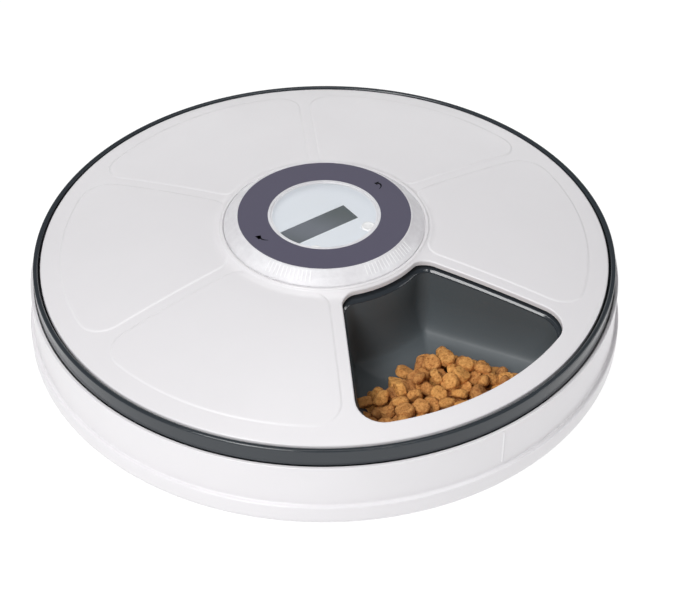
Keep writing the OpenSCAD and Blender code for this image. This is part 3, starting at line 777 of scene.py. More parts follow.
@dataclass(frozen=True)
class DisplayFinish(Finish):
    """The dark display with a painted sheen: a sheet that lightens softly across a slanting band,
    painted in as a reflection.
    """

    # colour of the painted sheen, a reflection painted into the display
    painted_sheen: Colour = (0.2, 0.215, 0.245)
    painted_sheen_slant: float = -32.0

    def colour_socket(self, tree: NodeTree, shade: NodeSocket, place: NodeSocket) -> NodeSocket:
        """Paints the sheen: lightens the display in one broad soft band that stands in for a reflection.

        Args:
            tree: node tree of the material.
            shade: the grain's shade.
            place: the point on the piece.

        Returns:
            The colour's socket.
        """
        # painted sheen: a soft slanting band of lighter colour stands in for a reflection on the display
        turn = add_node(
            tree, "ShaderNodeMapping", {"Rotation": (0, 0, math.radians(self.painted_sheen_slant))}, {"Vector": place})
        painted_sheen_band = add_node(
            tree, "ShaderNodeTexWave",
            {"Scale": 7.5, "Distortion": 1.2, "Detail": 1.0, "Phase Offset": 4.3},
            {"Vector": turn.outputs["Vector"]})
        plain = super().colour_socket(tree, shade, place)
        return mix_colours(tree, painted_sheen_band.outputs["Fac"], plain, self.painted_sheen)


class Finishes:
    """Every finish of the feeder, made once and looked up by its name."""

    ALL: tuple = (
        Finish("white_shell", (0.78, 0.765, 0.785), 0.34, mottle=0.012, grain_scale=900,
               grain_depth=0.002, dust=0.03, dust_colour=(0.7, 0.69, 0.68)),
        # two copies of the tray's one dark plastic: the inside, underside and teeth are painted lighter
        # to stand in for more light on the bowl walls than the lamps give; the rim and the lips keep the
        # darker, glossier copy
        Finish("dark_tray", (0.082, 0.096, 0.105), 0.5, mottle=0.05, grain_scale=1100,
               grain_depth=0.002, dust=0.03, dust_colour=(0.2, 0.2, 0.2), specular=0.45),
        Finish("dark_rim", (0.034, 0.04, 0.047), 0.13, mottle=0.05, grain_scale=1100,
               grain_depth=0.002, dust=0.03, dust_colour=(0.16, 0.16, 0.16), specular=0.45),
        ClearFinish("clear_cap", (1.0, 1.0, 1.0), 0.02, 0.0, (0.97, 0.98, 0.99)),
        ClearFinish("frosted_cap", (0.67, 0.655, 0.68), 0.3, 0.75),
        # painted highlight: the ribs are of the cap's clear plastic, coloured near-white so they read as
        # bright lines
        Finish("cap_rib_painted_highlight", (0.95, 0.95, 0.96), 0.3, mottle=0.02, grain_depth=0.001),
        Finish("printed_ring", (0.09, 0.084, 0.128), 0.42, mottle=0.03, grain_scale=1200,
               grain_depth=0.001, passes=0.8),
        Finish("ring_marks", (0.006, 0.006, 0.008), 0.6, mottle=0.2, grain_scale=900,
               grain_depth=0.001, specular=0.12),
        Finish("panel_face", (0.82, 0.86, 0.91), 0.42, mottle=0.012, grain_scale=900,
               grain_depth=0.002),
        DisplayFinish("display_glass", (0.145, 0.163, 0.17), 0.12, mottle=0.05,
                      grain_depth=0.0005, coat=0.3),
        Finish("button_pad", (0.93, 0.93, 0.93), 0.5, mottle=0.02, grain_depth=0.001),
        KibbleFinish("kibble_food", (0.57, 0.26, 0.073), 0.82, gloss_change=0.2,
                     grain_scale=1250, grain_depth=0.13, specular=0.3),
        Finish("foot_rubber", (0.022, 0.022, 0.024), 0.8, mottle=0.25, grain_scale=700,
               grain_depth=0.01, dust=0.1),
        Finish("inner_plastic", (0.62, 0.62, 0.61), 0.48, mottle=0.03, dust=0.04),
        Finish("acetal", (0.74, 0.71, 0.62), 0.32, mottle=0.03, grain_depth=0.002),
        Finish("steel", (0.56, 0.57, 0.59), 0.28, metallic=1.0, mottle=0.08,
               gloss_change=0.16, grain_scale=1500, grain_depth=0.002),
        Finish("motor_can", (0.5, 0.51, 0.53), 0.36, metallic=1.0, mottle=0.1,
               gloss_change=0.2, grain_scale=260),
        BandedFinish("cell_jacket", (0.03, 0.075, 0.06), 0.3, mottle=0.05, coat=0.3),
        BoardFinish("circuit_board", (0.02, 0.12, 0.05), 0.36, mottle=0.08, coat=0.4),
        Finish("black_plastic", (0.018, 0.018, 0.02), 0.42, mottle=0.2),
        Finish("lead_wire", (0.42, 0.035, 0.028), 0.45, mottle=0.06),
    )

    def __init__(self) -> None:
        """Builds every material."""
        self.made = {finish.name: finish.make() for finish in self.ALL}

    def __getitem__(self, name: str) -> Material:
        """Looks up a material by name."""
        return self.made[name]


# ---- shapes that the lid and the tray share ----


@dataclass(frozen=True)
class Dome:
    """The shallow dome of the lid, which the tray's top follows."""

    edge: float = 50.0
    rise: float = 16.6
    radius: float = 156.3
    flare: float = 0.0
    flare_from: float = 57.4
    flare_w: float = 4.6

    def at(self, radius: float) -> float:
        """Gives the height of the dome at a radius, with its flare towards the collar."""
        share = min(1.0, max(0.0, 1 - (radius - self.flare_from) / self.flare_w))
        return self.edge + self.rise * (1 - (radius / self.radius) ** 2) + self.flare * share**2


@dataclass(frozen=True)
class Sector:
    """Outline of one wedge, centred on +X, with rounded corners."""

    inner: float
    outer: float
    side: float
    corner_in: float
    corner_out: float

    def grown(self, by: float) -> "Sector":
        """Gives the outline a distance further out on every side."""
        return Sector(
            self.inner - by, self.outer + by, self.side - by,
            self.corner_in + by, self.corner_out + by,
        )

    def points(self) -> list[Vector]:
        """Runs once round the outline.

        Returns:
            Its points, always the same number and in the same order.
        """
        half = STEP / 2
        far, near = self.outer - self.corner_out, self.inner + self.corner_in
        to = half - math.asin((self.side + self.corner_out) / far)
        ti = half - math.asin((self.side + self.corner_in) / near)
        right, back = math.pi / 2, math.pi
        zero = Vector((0, 0, 0))
        out = self.arc(zero, self.outer, -to, to, 28)
        out += self.arc(polar(far, to), self.corner_out, to, half + right, 8)
        out += self.line(
            polar(far, to) + polar(self.corner_out, half + right),
            polar(near, ti) + polar(self.corner_in, half + right), 8)
        out += self.arc(polar(near, ti), self.corner_in, half + right, ti + back, 6)
        out += self.arc(zero, self.inner, ti, -ti, 12)
        out += self.arc(polar(near, -ti), self.corner_in, back - ti, back + right - half, 6)
        out += self.line(
            polar(near, -ti) + polar(self.corner_in, -half - right),
            polar(far, -to) + polar(self.corner_out, -half - right), 8)
        out += self.arc(polar(far, -to), self.corner_out, -half - right, -to, 8)
        return out

    @staticmethod
    def arc(centre: Vector, radius: float, start: float, end: float, count: int) -> list[Vector]:
        """Gives the points of an arc, without its last one."""
        return [centre + polar(radius, start + (end - start) * k / count) for k in range(count)]

    @staticmethod
    def line(start: Vector, end: Vector, count: int) -> list[Vector]:
        """Gives the points of a straight line, without its last one."""
        return [start.lerp(end, k / count) for k in range(count)]

    def border(self, inner: float, outer: float) -> list[Vector]:
        """Finds where lines from the wedge's middle through the outline leave its sixth of a ring.

        Args:
            inner: inner radius of the ring.
            outer: outer radius of the ring.

        Returns:
            One point for each point of the outline, with the four corners among them.
        """
        half = STEP / 2
        middle = Vector(((inner + outer) / 2, 0, 0))
        reach = []
        for point in self.points():
            way = (point - middle).normalized()
            along = middle.dot(way)
            hits = [-along + math.sqrt(along**2 - middle.length_squared + outer**2)]
            rest = along**2 - middle.length_squared + inner**2
            if rest > 0 and along < 0:
                hits.append(-along - math.sqrt(rest))
            for sign in (-1, 1):
                normal = Vector((-math.sin(half), sign * math.cos(half), 0))
                if way.dot(normal) > 1e-9:
                    hits.append(-middle.dot(normal) / way.dot(normal))
            reach.append(middle + way * min(hits))
        for radius in (inner, outer):
            for sign in (-1, 1):
                corner = polar(radius, sign * half)
                way = (corner - middle).normalized()
                best = max(range(len(reach)), key=lambda i: (reach[i] - middle).normalized().dot(way))
                reach[best] = corner
        return reach


@dataclass(frozen=True)
class Ledge:
    """One step of a wedge's wall: how far out it lies and how high."""

    grow: float
    height: float
    draped: bool = True


@dataclass(frozen=True)
class WedgeSheet:
    """A sheet over one sixth of a ring, with a wedge raised from it or sunk in it."""

    dome: Dome
    outline: Sector
    inner: float
    outer: float
    drop: float = 0.0
    dish: float = 0.0

    def place(self, point: Vector, height: float, draped: bool, turn: float) -> Vector:
        """Puts a point of the plan at its height and turns it to its sixth."""
        z = height + (self.dome.at(point.xy.length) if draped else 0.0)
        return turned(Vector((point.x, point.y, z)), turn)

    def build(
        self, bm: BMesh, turn: float, steps: list[Ledge], closed: bool = True, outer_cut: float = 0.0
    ) -> list[BMVert]:
        """Builds the sheet from its border to the end of its steps.

        Args:
            bm: mesh that takes the sheet.
            turn: direction of the wedge, in radians.
            steps: steps of the wedge's wall, from the border in.
            closed: whether rings go on to the middle; otherwise a hole is left.
            outer_cut: how far the border's outer arc is drawn in.

        Returns:
            The last ring.
        """
        border = self.outline.border(self.inner, self.outer)
        if outer_cut > 0:
            limit = self.outer - outer_cut
            border = [p * (limit / self.outer) if p.length > self.outer - 1e-3 else p for p in border]
        first = self.outline.grown(steps[0].grow).points()
        ring = start_ring(bm, [self.place(p, -self.drop, True, turn) for p in border])
        for share in (0.5, 1.0):
            at = [b.lerp(f, share) for b, f in zip(border, first)]
            ring = grow_ring(bm, ring, [self.place(p, steps[0].height, True, turn) for p in at])
        for step in steps[1:]:
            at = self.outline.grown(step.grow).points()
            ring = grow_ring(bm, ring, [self.place(p, step.height, step.draped, turn) for p in at])
        if closed:
            last, middle = steps[-1], Vector(((self.inner + self.outer) / 2, 0, 0))
            rim = self.outline.grown(last.grow).points()
            for share in (0.985, 0.965, 0.94, 0.9, 0.8, 0.64, 0.46, 0.28, 0.12):
                at = [middle.lerp(p, share) for p in rim]
                high = last.height - self.dish * (1 - share**5)
                ring = grow_ring(bm, ring, [self.place(p, high, last.draped, turn) for p in at])
            close_ring(bm, ring)
        return ring


def quarter(radius: float, steps: int) -> list[Ledge]:
    """Rounds the edge between a sheet and a wall that goes down from it.

    Args:
        radius: radius of the rounding.
        steps: number of steps.

    Returns:
        The steps, from the sheet to the wall.
    """
    out = []
    for k in range(steps + 1):
        a = math.pi / 2 * k / steps
        out.append(Ledge(radius * (1 - math.sin(a)), -radius * (1 - math.cos(a))))
    return out


# ---- base ----


@dataclass
class FeederBase:
    """The white base: its pan, its upper wall with the deck, and the feet."""

    outer: float = 164.94
    wall: float = 162.5
    band: float = 15.0
    lift: float = 1.2
    pan_t: float = 2.3
    wall_t: float = 2.0
    wall_top: float = 40.05
    deck_top: float = 9.8
    rounding: float = 6.0
    lip: float = 2.0
    rebate: float = 0.35
    seam_at: float = -91.5
    seam_w: float = 0.5
    seam_d: float = 0.5
    feet_at: float = 142.0
    foot_r: float = 8.0
    foot_t: float = 2.1
    screw_at: float = 150.0
    roller_at: float = 100.0
    rollers: int = 6
    roller_turn: float = 15.0
    roller_slot: tuple[float, float] = (3.3, 4.3)
    cheek_at: float = 4.65
    cheek: tuple[float, float, float] = (1.35, 3.0, 5.6)
    screw_head_r: float = 3.2
    screw_r: float = 1.65
    boss_r: float = 3.6
    boss_bore_r: float = 1.4
    pin_r: float = 1.05
    pin_z: float = 8.15
    hub_screw_at: float = 44.6
    box: tuple[float, float] = (30.0, 32.5)
    hinge_y: float = 32.6

    def build(self, finishes: Finishes) -> None:
        """Builds the base's pieces and dresses them."""
        settle_piece(self.pan(), Body.BASE, "white_shell", finishes["white_shell"], "base_pan")
        settle_piece(self.shell(), Body.BASE, "white_shell", finishes["white_shell"], "base_shell")
        settle_piece(
            self.deck_fittings(), Body.BASE, "white_shell", finishes["white_shell"])
        settle_piece(self.feet(), Body.BASE, "foot_rubber", finishes["foot_rubber"], "rubber_feet")

    def around(self, radius: float, count: int, first: float = 0.0) -> list[Vector]:
        """Gives places evenly spread on a circle."""
        return [polar(radius, math.radians(first) + math.tau * k / count) for k in range(count)]

    def pan(self) -> Object:
        """Turns the pan and cuts its openings.

        Returns:
            The pan.
        """
        bm = bmesh.new()
        inner = self.wall - self.rebate + 0.1
        floor = self.lift + self.pan_t
        top = self.band + self.lip
        profile = rounded([
            (0.0, self.lift, 0.0), (self.outer, self.lift, self.rounding),
            (self.outer, self.band, 0.9), (self.wall, self.band, 1.45), (self.wall, top, 0.0),
            (inner, top, 0.0), (inner, floor, self.rounding - self.pan_t), (0.0, floor, 0.0),
        ], 7)
        spin_profile(bm, profile, 192, closed=False)
        pan = make_piece(bm, "pan")
        carve(pan, self.pan_cutters(), overlapping=True)
        return even_shading(pan)

    def pan_cutters(self) -> Object:
        """Builds what is cut out of the pan: door opening, hinge, catch, screws and feet.

        Returns:
            The cutter.
        """
        bm = bmesh.new()
        x, y = self.box[0] - 1, self.box[1] - 1
        add_box(bm, (-x, -y, -1), (x, y, 8))
        for side in (-15.0, 15.0):
            add_box(bm, (side - 4.8, y - 0.5, -1.1), (side + 4.8, self.hinge_y + 1.35, 8.1))
        add_box(bm, (-9, -y - 6, -1.2), (9, -y + 0.5, self.lift + 1.2))
        for at in self.around(self.feet_at, MEALS, 30):
            add_rod(bm, self.foot_r + 0.05, -1, self.foot_t + 0.05, at)
        for at in self.around(self.screw_at, MEALS):
            add_rod(bm, self.screw_head_r, -1, self.lift + 1.3, at, 32)
            add_rod(bm, self.screw_r, -1.3, 8, at, 24)
        return make_piece(bm, "pan_cutter")

    def shell(self) -> Object:
        """Turns the upper wall with the deck, raises its seam and cuts the deck's openings.

        Returns:
            The shell.
        """
        bm = bmesh.new()
        inner = self.wall - self.wall_t
        under = self.deck_top - self.wall_t
        behind, over = self.wall - self.rebate, self.band + self.lip + 0.01
        profile = rounded([
            (0.0, under, 0.0), (inner, under, 0.0), (inner, under - 0.4, 0.0),
            (behind, under - 0.4, 0.3), (behind, over, 0.0), (self.wall, over, 0.0),
            (self.wall, self.wall_top, 0.6),
            (inner, self.wall_top, 0.5), (inner, self.deck_top, 1.2), (0.0, self.deck_top, 0.0),
        ], 4)
        spin_profile(bm, profile, 192, closed=False)
        self.raise_seam(bm)
        shell = make_piece(bm, "upper_wall")
        carve(shell, self.shell_cutters(), overlapping=True)
        return even_shading(shell)

    def raise_seam(self, bm: BMesh) -> None:
        """Raises a narrow upright line on the outside of the wall.

        Args:
            bm: mesh of the wall.
        """
        angle = math.radians(self.seam_at)
        across = Vector((-math.sin(angle), math.cos(angle), 0))
        up = Vector((0, 0, 1))
        cuts = [(across * shift, across) for shift in (-self.seam_w, 0.0, self.seam_w)]
        foot = self.band + self.lip
        heights = (foot + 0.2, foot + 0.7, self.wall_top - 2.2, self.wall_top - 1.4)
        cuts += [(up * z, up) for z in heights]
        for at, facing in cuts:
            near = [f for f in bm.faces if f.calc_center_median().xy.length > self.wall - 1.2
                    and f.calc_center_median().dot(polar(1, angle)) > 150]
            geom = set(near) | {e for f in near for e in f.edges} | {v for f in near for v in f.verts}
            bmesh.ops.bisect_plane(bm, geom=list(geom), dist=1e-5, plane_co=at, plane_no=facing)
        for vert in bm.verts:
            out = vert.co.xy.length
            low, high = foot + 0.4, self.wall_top - 1.8
            if (
                out > self.wall - 0.1 and vert.co.dot(polar(1, angle)) > 0
                and abs(vert.co.dot(across)) < 1e-3 and low < vert.co.z < high
            ):
                vert.co.xy = vert.co.xy.normalized() * (out + self.seam_d)

    def roller_angle(self, which: int) -> float:
        """Gives the direction of one roller from the axis, in radians."""
        return math.radians(self.roller_turn + 360 / self.rollers * which)

    def move_to_roller(self, bm: BMesh, verts: list[BMVert], which: int) -> None:
        """Moves vertices from the axis out to one roller.

        Args:
            bm: mesh that holds them.
            verts: vertices to move.
            which: number of the roller.
        """
        bmesh.ops.translate(bm, vec=(self.roller_at, 0, 0), verts=verts)
        turn = Matrix.Rotation(self.roller_angle(which), 3, "Z")
        bmesh.ops.rotate(bm, cent=(0, 0, 0), matrix=turn, verts=verts)

    def shell_cutters(self) -> Object:
        """Builds what is cut out of the deck: the battery box, the rollers and the screws.

        Returns:
            The cutter.
        """
        bm = bmesh.new()
        x, y = self.box[0] + 0.6, self.box[1] + 0.6
        add_box(bm, (-x, -y, 0), (x, y, self.deck_top + 5))
        half_x, half_y = self.roller_slot
        for k in range(self.rollers):
            verts = add_box(bm, (-half_x, -half_y, 0), (half_x, half_y, self.deck_top + 5))
            self.move_to_roller(bm, verts, k)
        for at in self.around(self.hub_screw_at, 4, 45):
            add_rod(bm, self.screw_r, 0, self.deck_top + 5, at, 24)
        for at in self.around(self.screw_at, MEALS):
            add_rod(bm, self.boss_bore_r, 0.2, self.deck_top - 0.6, at, 24)
        return make_piece(bm, "shell_cutter")

    def deck_fittings(self) -> Object:
        """Builds the screw bosses under the deck and the cheeks that hold the roller pins.

        Returns:
            The fittings.
        """
        bm = bmesh.new()
        under = self.deck_top - self.wall_t
        for at in self.around(self.screw_at, MEALS):
            add_rod(bm, self.boss_r, self.lift + self.pan_t + 0.1, under + 0.2, at, 32)
        half_x, half_y, foot = self.cheek
        for k in range(self.rollers):
            for x in (-self.cheek_at, self.cheek_at):
                verts = add_box(
                    bm, (x - half_x, -half_y, foot), (x + half_x, half_y, self.deck_top + 0.02))
                self.move_to_roller(bm, verts, k)
        soften(bm, sharp_edges(bm), 0.3, 2)
        fittings = make_piece(bm, "deck_fittings")
        carve(fittings, self.fitting_cutters())
        return even_shading(fittings)

    def fitting_cutters(self) -> Object:
        """Builds what is cut out of the fittings: the screws' bores and the pins' holes.

        Returns:
            The cutter.
        """
        bm = bmesh.new()
        for at in self.around(self.screw_at, MEALS):
            add_rod(bm, self.boss_bore_r, 0, self.deck_top - 0.6, at, 24)
        lay = Matrix.Rotation(math.pi / 2, 4, "Y")
        shift = Matrix.Translation((self.roller_at, 0, self.pin_z))
        for k in range(self.rollers):
            verts = add_rod(bm, self.pin_r, -6, 6, Vector((0, 0, 0)), 24)
            place = Matrix.Rotation(self.roller_angle(k), 4, "Z")
            bmesh.ops.transform(bm, matrix=place @ shift @ lay, verts=verts)
        return make_piece(bm, "fitting_cutter")

    def feet(self) -> Object:
        """Builds the six rubber feet, each with two rings in its sole.

        Returns:
            The feet.
        """
        bm = bmesh.new()
        r, t = self.foot_r, self.foot_t
        profile = [
            (0.0, t), (r - 0.1, t), (r, t - 0.1), (r, 0.7), (r - 0.2, 0.25), (r - 0.7, 0.0),
            (r - 2.0, 0.0), (r - 2.3, 0.35), (r - 2.9, 0.35), (r - 3.2, 0.0), (r - 4.4, 0.0),
            (r - 4.7, 0.35), (r - 5.3, 0.35), (r - 5.6, 0.0), (0.0, 0.0),
        ]
        for at in self.around(self.feet_at, MEALS, 30):
            verts = spin_profile(bm, profile, 48, closed=False)
            bmesh.ops.translate(bm, vec=at, verts=verts)
        return even_shading(make_piece(bm, "feet"))


# ---- tray ----


@dataclass
class FoodTray:
    """The dark tray with six compartments, its rim and its ring of drive teeth."""

    dome: Dome = Dome()
    bowl: Sector = Sector(60.0, 143.5, 5.0, 8.0, 14.0)
    drop: float = 5.0
    floor: float = 14.0
    hollow: tuple[float, float] = (7.6, 25.0)
    hollow_turn: float = 72.0
    dish: float = 6.0
    draft: float = 0.2
    lip: float = 1.5
    lip_edge: tuple[tuple[float, float], ...] = (
        (1.5, 0.0), (1.32, 0.02), (1.16, 0.1), (1.05, 0.21),
        (0.32, 1.02), (0.16, 1.24), (0.05, 1.5), (0.0, 1.8),
    )
    bore: float = 53.0
    bore_low: float = 55.01
    rim_in: float = 157.5
    rim_out: float = 160.3
    rim_low: float = 40.3
    skirt: float = 145.5
    bottom: float = 12.0
    track: tuple[float, float] = (94.0, 106.0)
    teeth: int = 60
    pitch: float = 52.5
    teeth_low: float = 25.2
    teeth_high: float = 31.8
    lever_at: tuple[float, float] = (5.5, 51.0)
    cam: tuple[float, float, float] = (1.5, 34.4, 38.4)

    def build(self, finishes: Finishes) -> None:
        """Builds the tray and its teeth and dresses them."""
        tray = self.body()
        tray.data.materials.append(finishes["dark_tray"])
        tray.data.materials.append(finishes["dark_rim"])
        # the rim and the compartments' lips take the darker, glossier copy; every other face keeps the
        # copy painted lighter, which stands in for light on the bowl walls
        for face in tray.data.polygons:
            out = math.hypot(face.center.x, face.center.y) / MM
            lip_low = self.dome.at(out) - self.drop - self.lip - 0.2
            if out > self.rim_in - 0.6 or face.center.z / MM > lip_low:
                face.material_index = 1
        settle_piece(tray, Body.TRAY, "dark_tray", finishes["dark_tray"], "food_tray")
        settle_piece(self.ring_of_teeth(), Body.TRAY, "dark_tray", finishes["dark_tray"])

    def wall_steps(self) -> list[Ledge]:
        """Gives a compartment's wall from the tray's top to its floor."""
        steps = [Ledge(grow, -self.drop - down) for grow, down in self.lip_edge]
        turn = math.radians(self.hollow_turn)
        wide, high = self.hollow
        for k in range(17):
            a = turn * k / 16
            grow = -self.draft - wide * (1 - math.cos(a))
            z = self.floor + self.dish + high * (math.sin(turn) - math.sin(a))
            steps.append(Ledge(grow, z, False))
        return steps

    def body(self) -> Object:
        """Builds the tray as one closed shell.

        Returns:
            The tray.
        """
        bm = bmesh.new()
        sheet = WedgeSheet(self.dome, self.bowl, self.bore, self.rim_in, self.drop, self.dish)
        steps = self.wall_steps()
        for k in range(MEALS):
            sheet.build(bm, SERVE + k * STEP, steps)
        bmesh.ops.remove_doubles(bm, verts=bm.verts, dist=WELD)
        top = self.dome.at(self.rim_in) - self.drop
        outside = open_edges(bm, self.rim_in, top - 0.1, top + 0.1)
        rim = [
            (self.rim_in, top + 0.4), (self.rim_in, 48.9), (self.rim_in + 0.1, 49.4),
            (self.rim_in + 0.4, 49.8), (self.rim_in + 0.9, 50.0), (self.rim_out - 0.9, 50.0),
            (self.rim_out - 0.45, 49.88), (self.rim_out - 0.12, 49.55), (self.rim_out, 49.1),
            (self.rim_out, 40.7), (self.rim_out - 0.1, 40.42), (self.rim_out - 0.35, self.rim_low),
            (self.rim_in + 0.2, self.rim_low), (self.rim_in, self.rim_low + 0.3),
            (self.rim_in, top - 2.2), (self.skirt + 1, self.dome.at(self.skirt) - 7.1),
            (self.skirt, self.dome.at(self.skirt) - 8.0), (self.skirt, self.bottom + 1.2),
            (self.skirt - 0.4, self.bottom + 0.35), (self.skirt - 1.2, self.bottom),
        ]
        outside = run_profile(bm, outside, rim)
        high = self.dome.at(self.bore) - self.drop
        inside = open_edges(bm, self.bore, high - 0.1, high + 0.1)
        bore = [
            (self.bore, self.teeth_high + 0.3), (self.bore, self.teeth_high),
            (self.bore_low, self.teeth_high), (self.bore_low, self.bottom + 0.4),
            (self.bore_low + 0.4, self.bottom),
        ]
        inside = run_profile(bm, inside, bore)
        bmesh.ops.bridge_loops(bm, edges=outside + inside)
        tray = make_piece(bm, "tray", 50)
        carve(tray, self.slot_cutters(), 50)
        return even_shading(tray)

    def slot_cutters(self) -> Object:
        """Builds what is cut out from under the walls between compartments, beside the rollers' track.

        Returns:
            The cutter.
        """
        bm = bmesh.new()
        near, far = self.bowl.inner + 3, self.bowl.outer - 3
        half = self.bowl.side - self.skirt + self.bowl.outer
        high = self.dome.at(self.bowl.outer) - self.drop - (self.skirt - self.bowl.outer)
        low, track_in, track_out = self.bottom - 1, self.track[0], self.track[1]
        outline = (
            (near, low), (track_in, low), (track_in, self.floor), (track_out, self.floor),
            (track_out, low), (far, low), (far, high), (near, high),
        )
        for k in range(MEALS):
            face = bm.faces.new([bm.verts.new((x, -half, z)) for x, z in outline])
            made = bmesh.ops.extrude_face_region(bm, geom=[face], use_keep_orig=True)["geom"]
            fresh = [v for v in made if isinstance(v, BMVert)]
            bmesh.ops.translate(bm, vec=(0, 2 * half, 0), verts=fresh)
            turn = Matrix.Rotation(SERVE + (k + 0.5) * STEP, 3, "Z")
            bmesh.ops.rotate(bm, cent=(0, 0, 0), matrix=turn, verts=fresh + list(face.verts))
        return make_piece(bm, "slot_cutter")

    def ring_of_teeth(self) -> Object:
        """Builds the ring of involute teeth in the bore and the six small cams over it.

        Returns:
            The ring.
        """
        bm = bmesh.new()
        module = 2 * self.pitch / self.teeth
        tip, root = self.pitch - 0.85 * module, self.pitch + 1.15 * module
        pressure = math.radians(25)
        base = self.pitch * math.cos(pressure)

        def involute(a: float) -> float:
            """Gives the involute function of an angle."""
            return math.tan(a) - a

        def half(r: float) -> float:
            """Gives half of the gap's angle between two teeth at a radius."""
            return (math.pi / 2 / self.teeth + involute(pressure)
                    - (involute(math.acos(base / r)) if r > base else 0) + 0.3 / (4 * self.pitch))

        inner = []
        for k in range(self.teeth):
            for side in (-1, 1):
                for i in range(4):
                    t = i / 3 if side < 0 else 1 - i / 3
                    r = tip + (root - tip) * t
                    inner.append(polar(r, math.tau * k / self.teeth + side * half(r)))
        outer = [p.normalized() * (self.bore_low + 0.4) for p in inner]
        low = [Vector((p.x, p.y, self.teeth_low)) for p in inner]
        high = [Vector((p.x, p.y, self.teeth_high)) for p in inner]
        out_high = [Vector((p.x, p.y, self.teeth_high)) for p in outer]
        out_low = [Vector((p.x, p.y, self.teeth_low)) for p in outer]
        ring = start_ring(bm, low)
        for points in (high, out_high, out_low, low):
            ring = grow_ring(bm, ring, points)
        cam_at = math.atan2(self.lever_at[1], self.lever_at[0])
        half, low_z, high_z = self.cam
        for k in range(MEALS):
            verts = add_box(
                bm, (self.bore - 0.3, -half, low_z), (self.bore + 0.6, half, high_z))
            turn = Matrix.Rotation(cam_at + k * STEP, 3, "Z")
            bmesh.ops.rotate(bm, cent=(0, 0, 0), matrix=turn, verts=verts)
        return even_shading(make_piece(bm, "drive_teeth", 30))


# ---- food ----


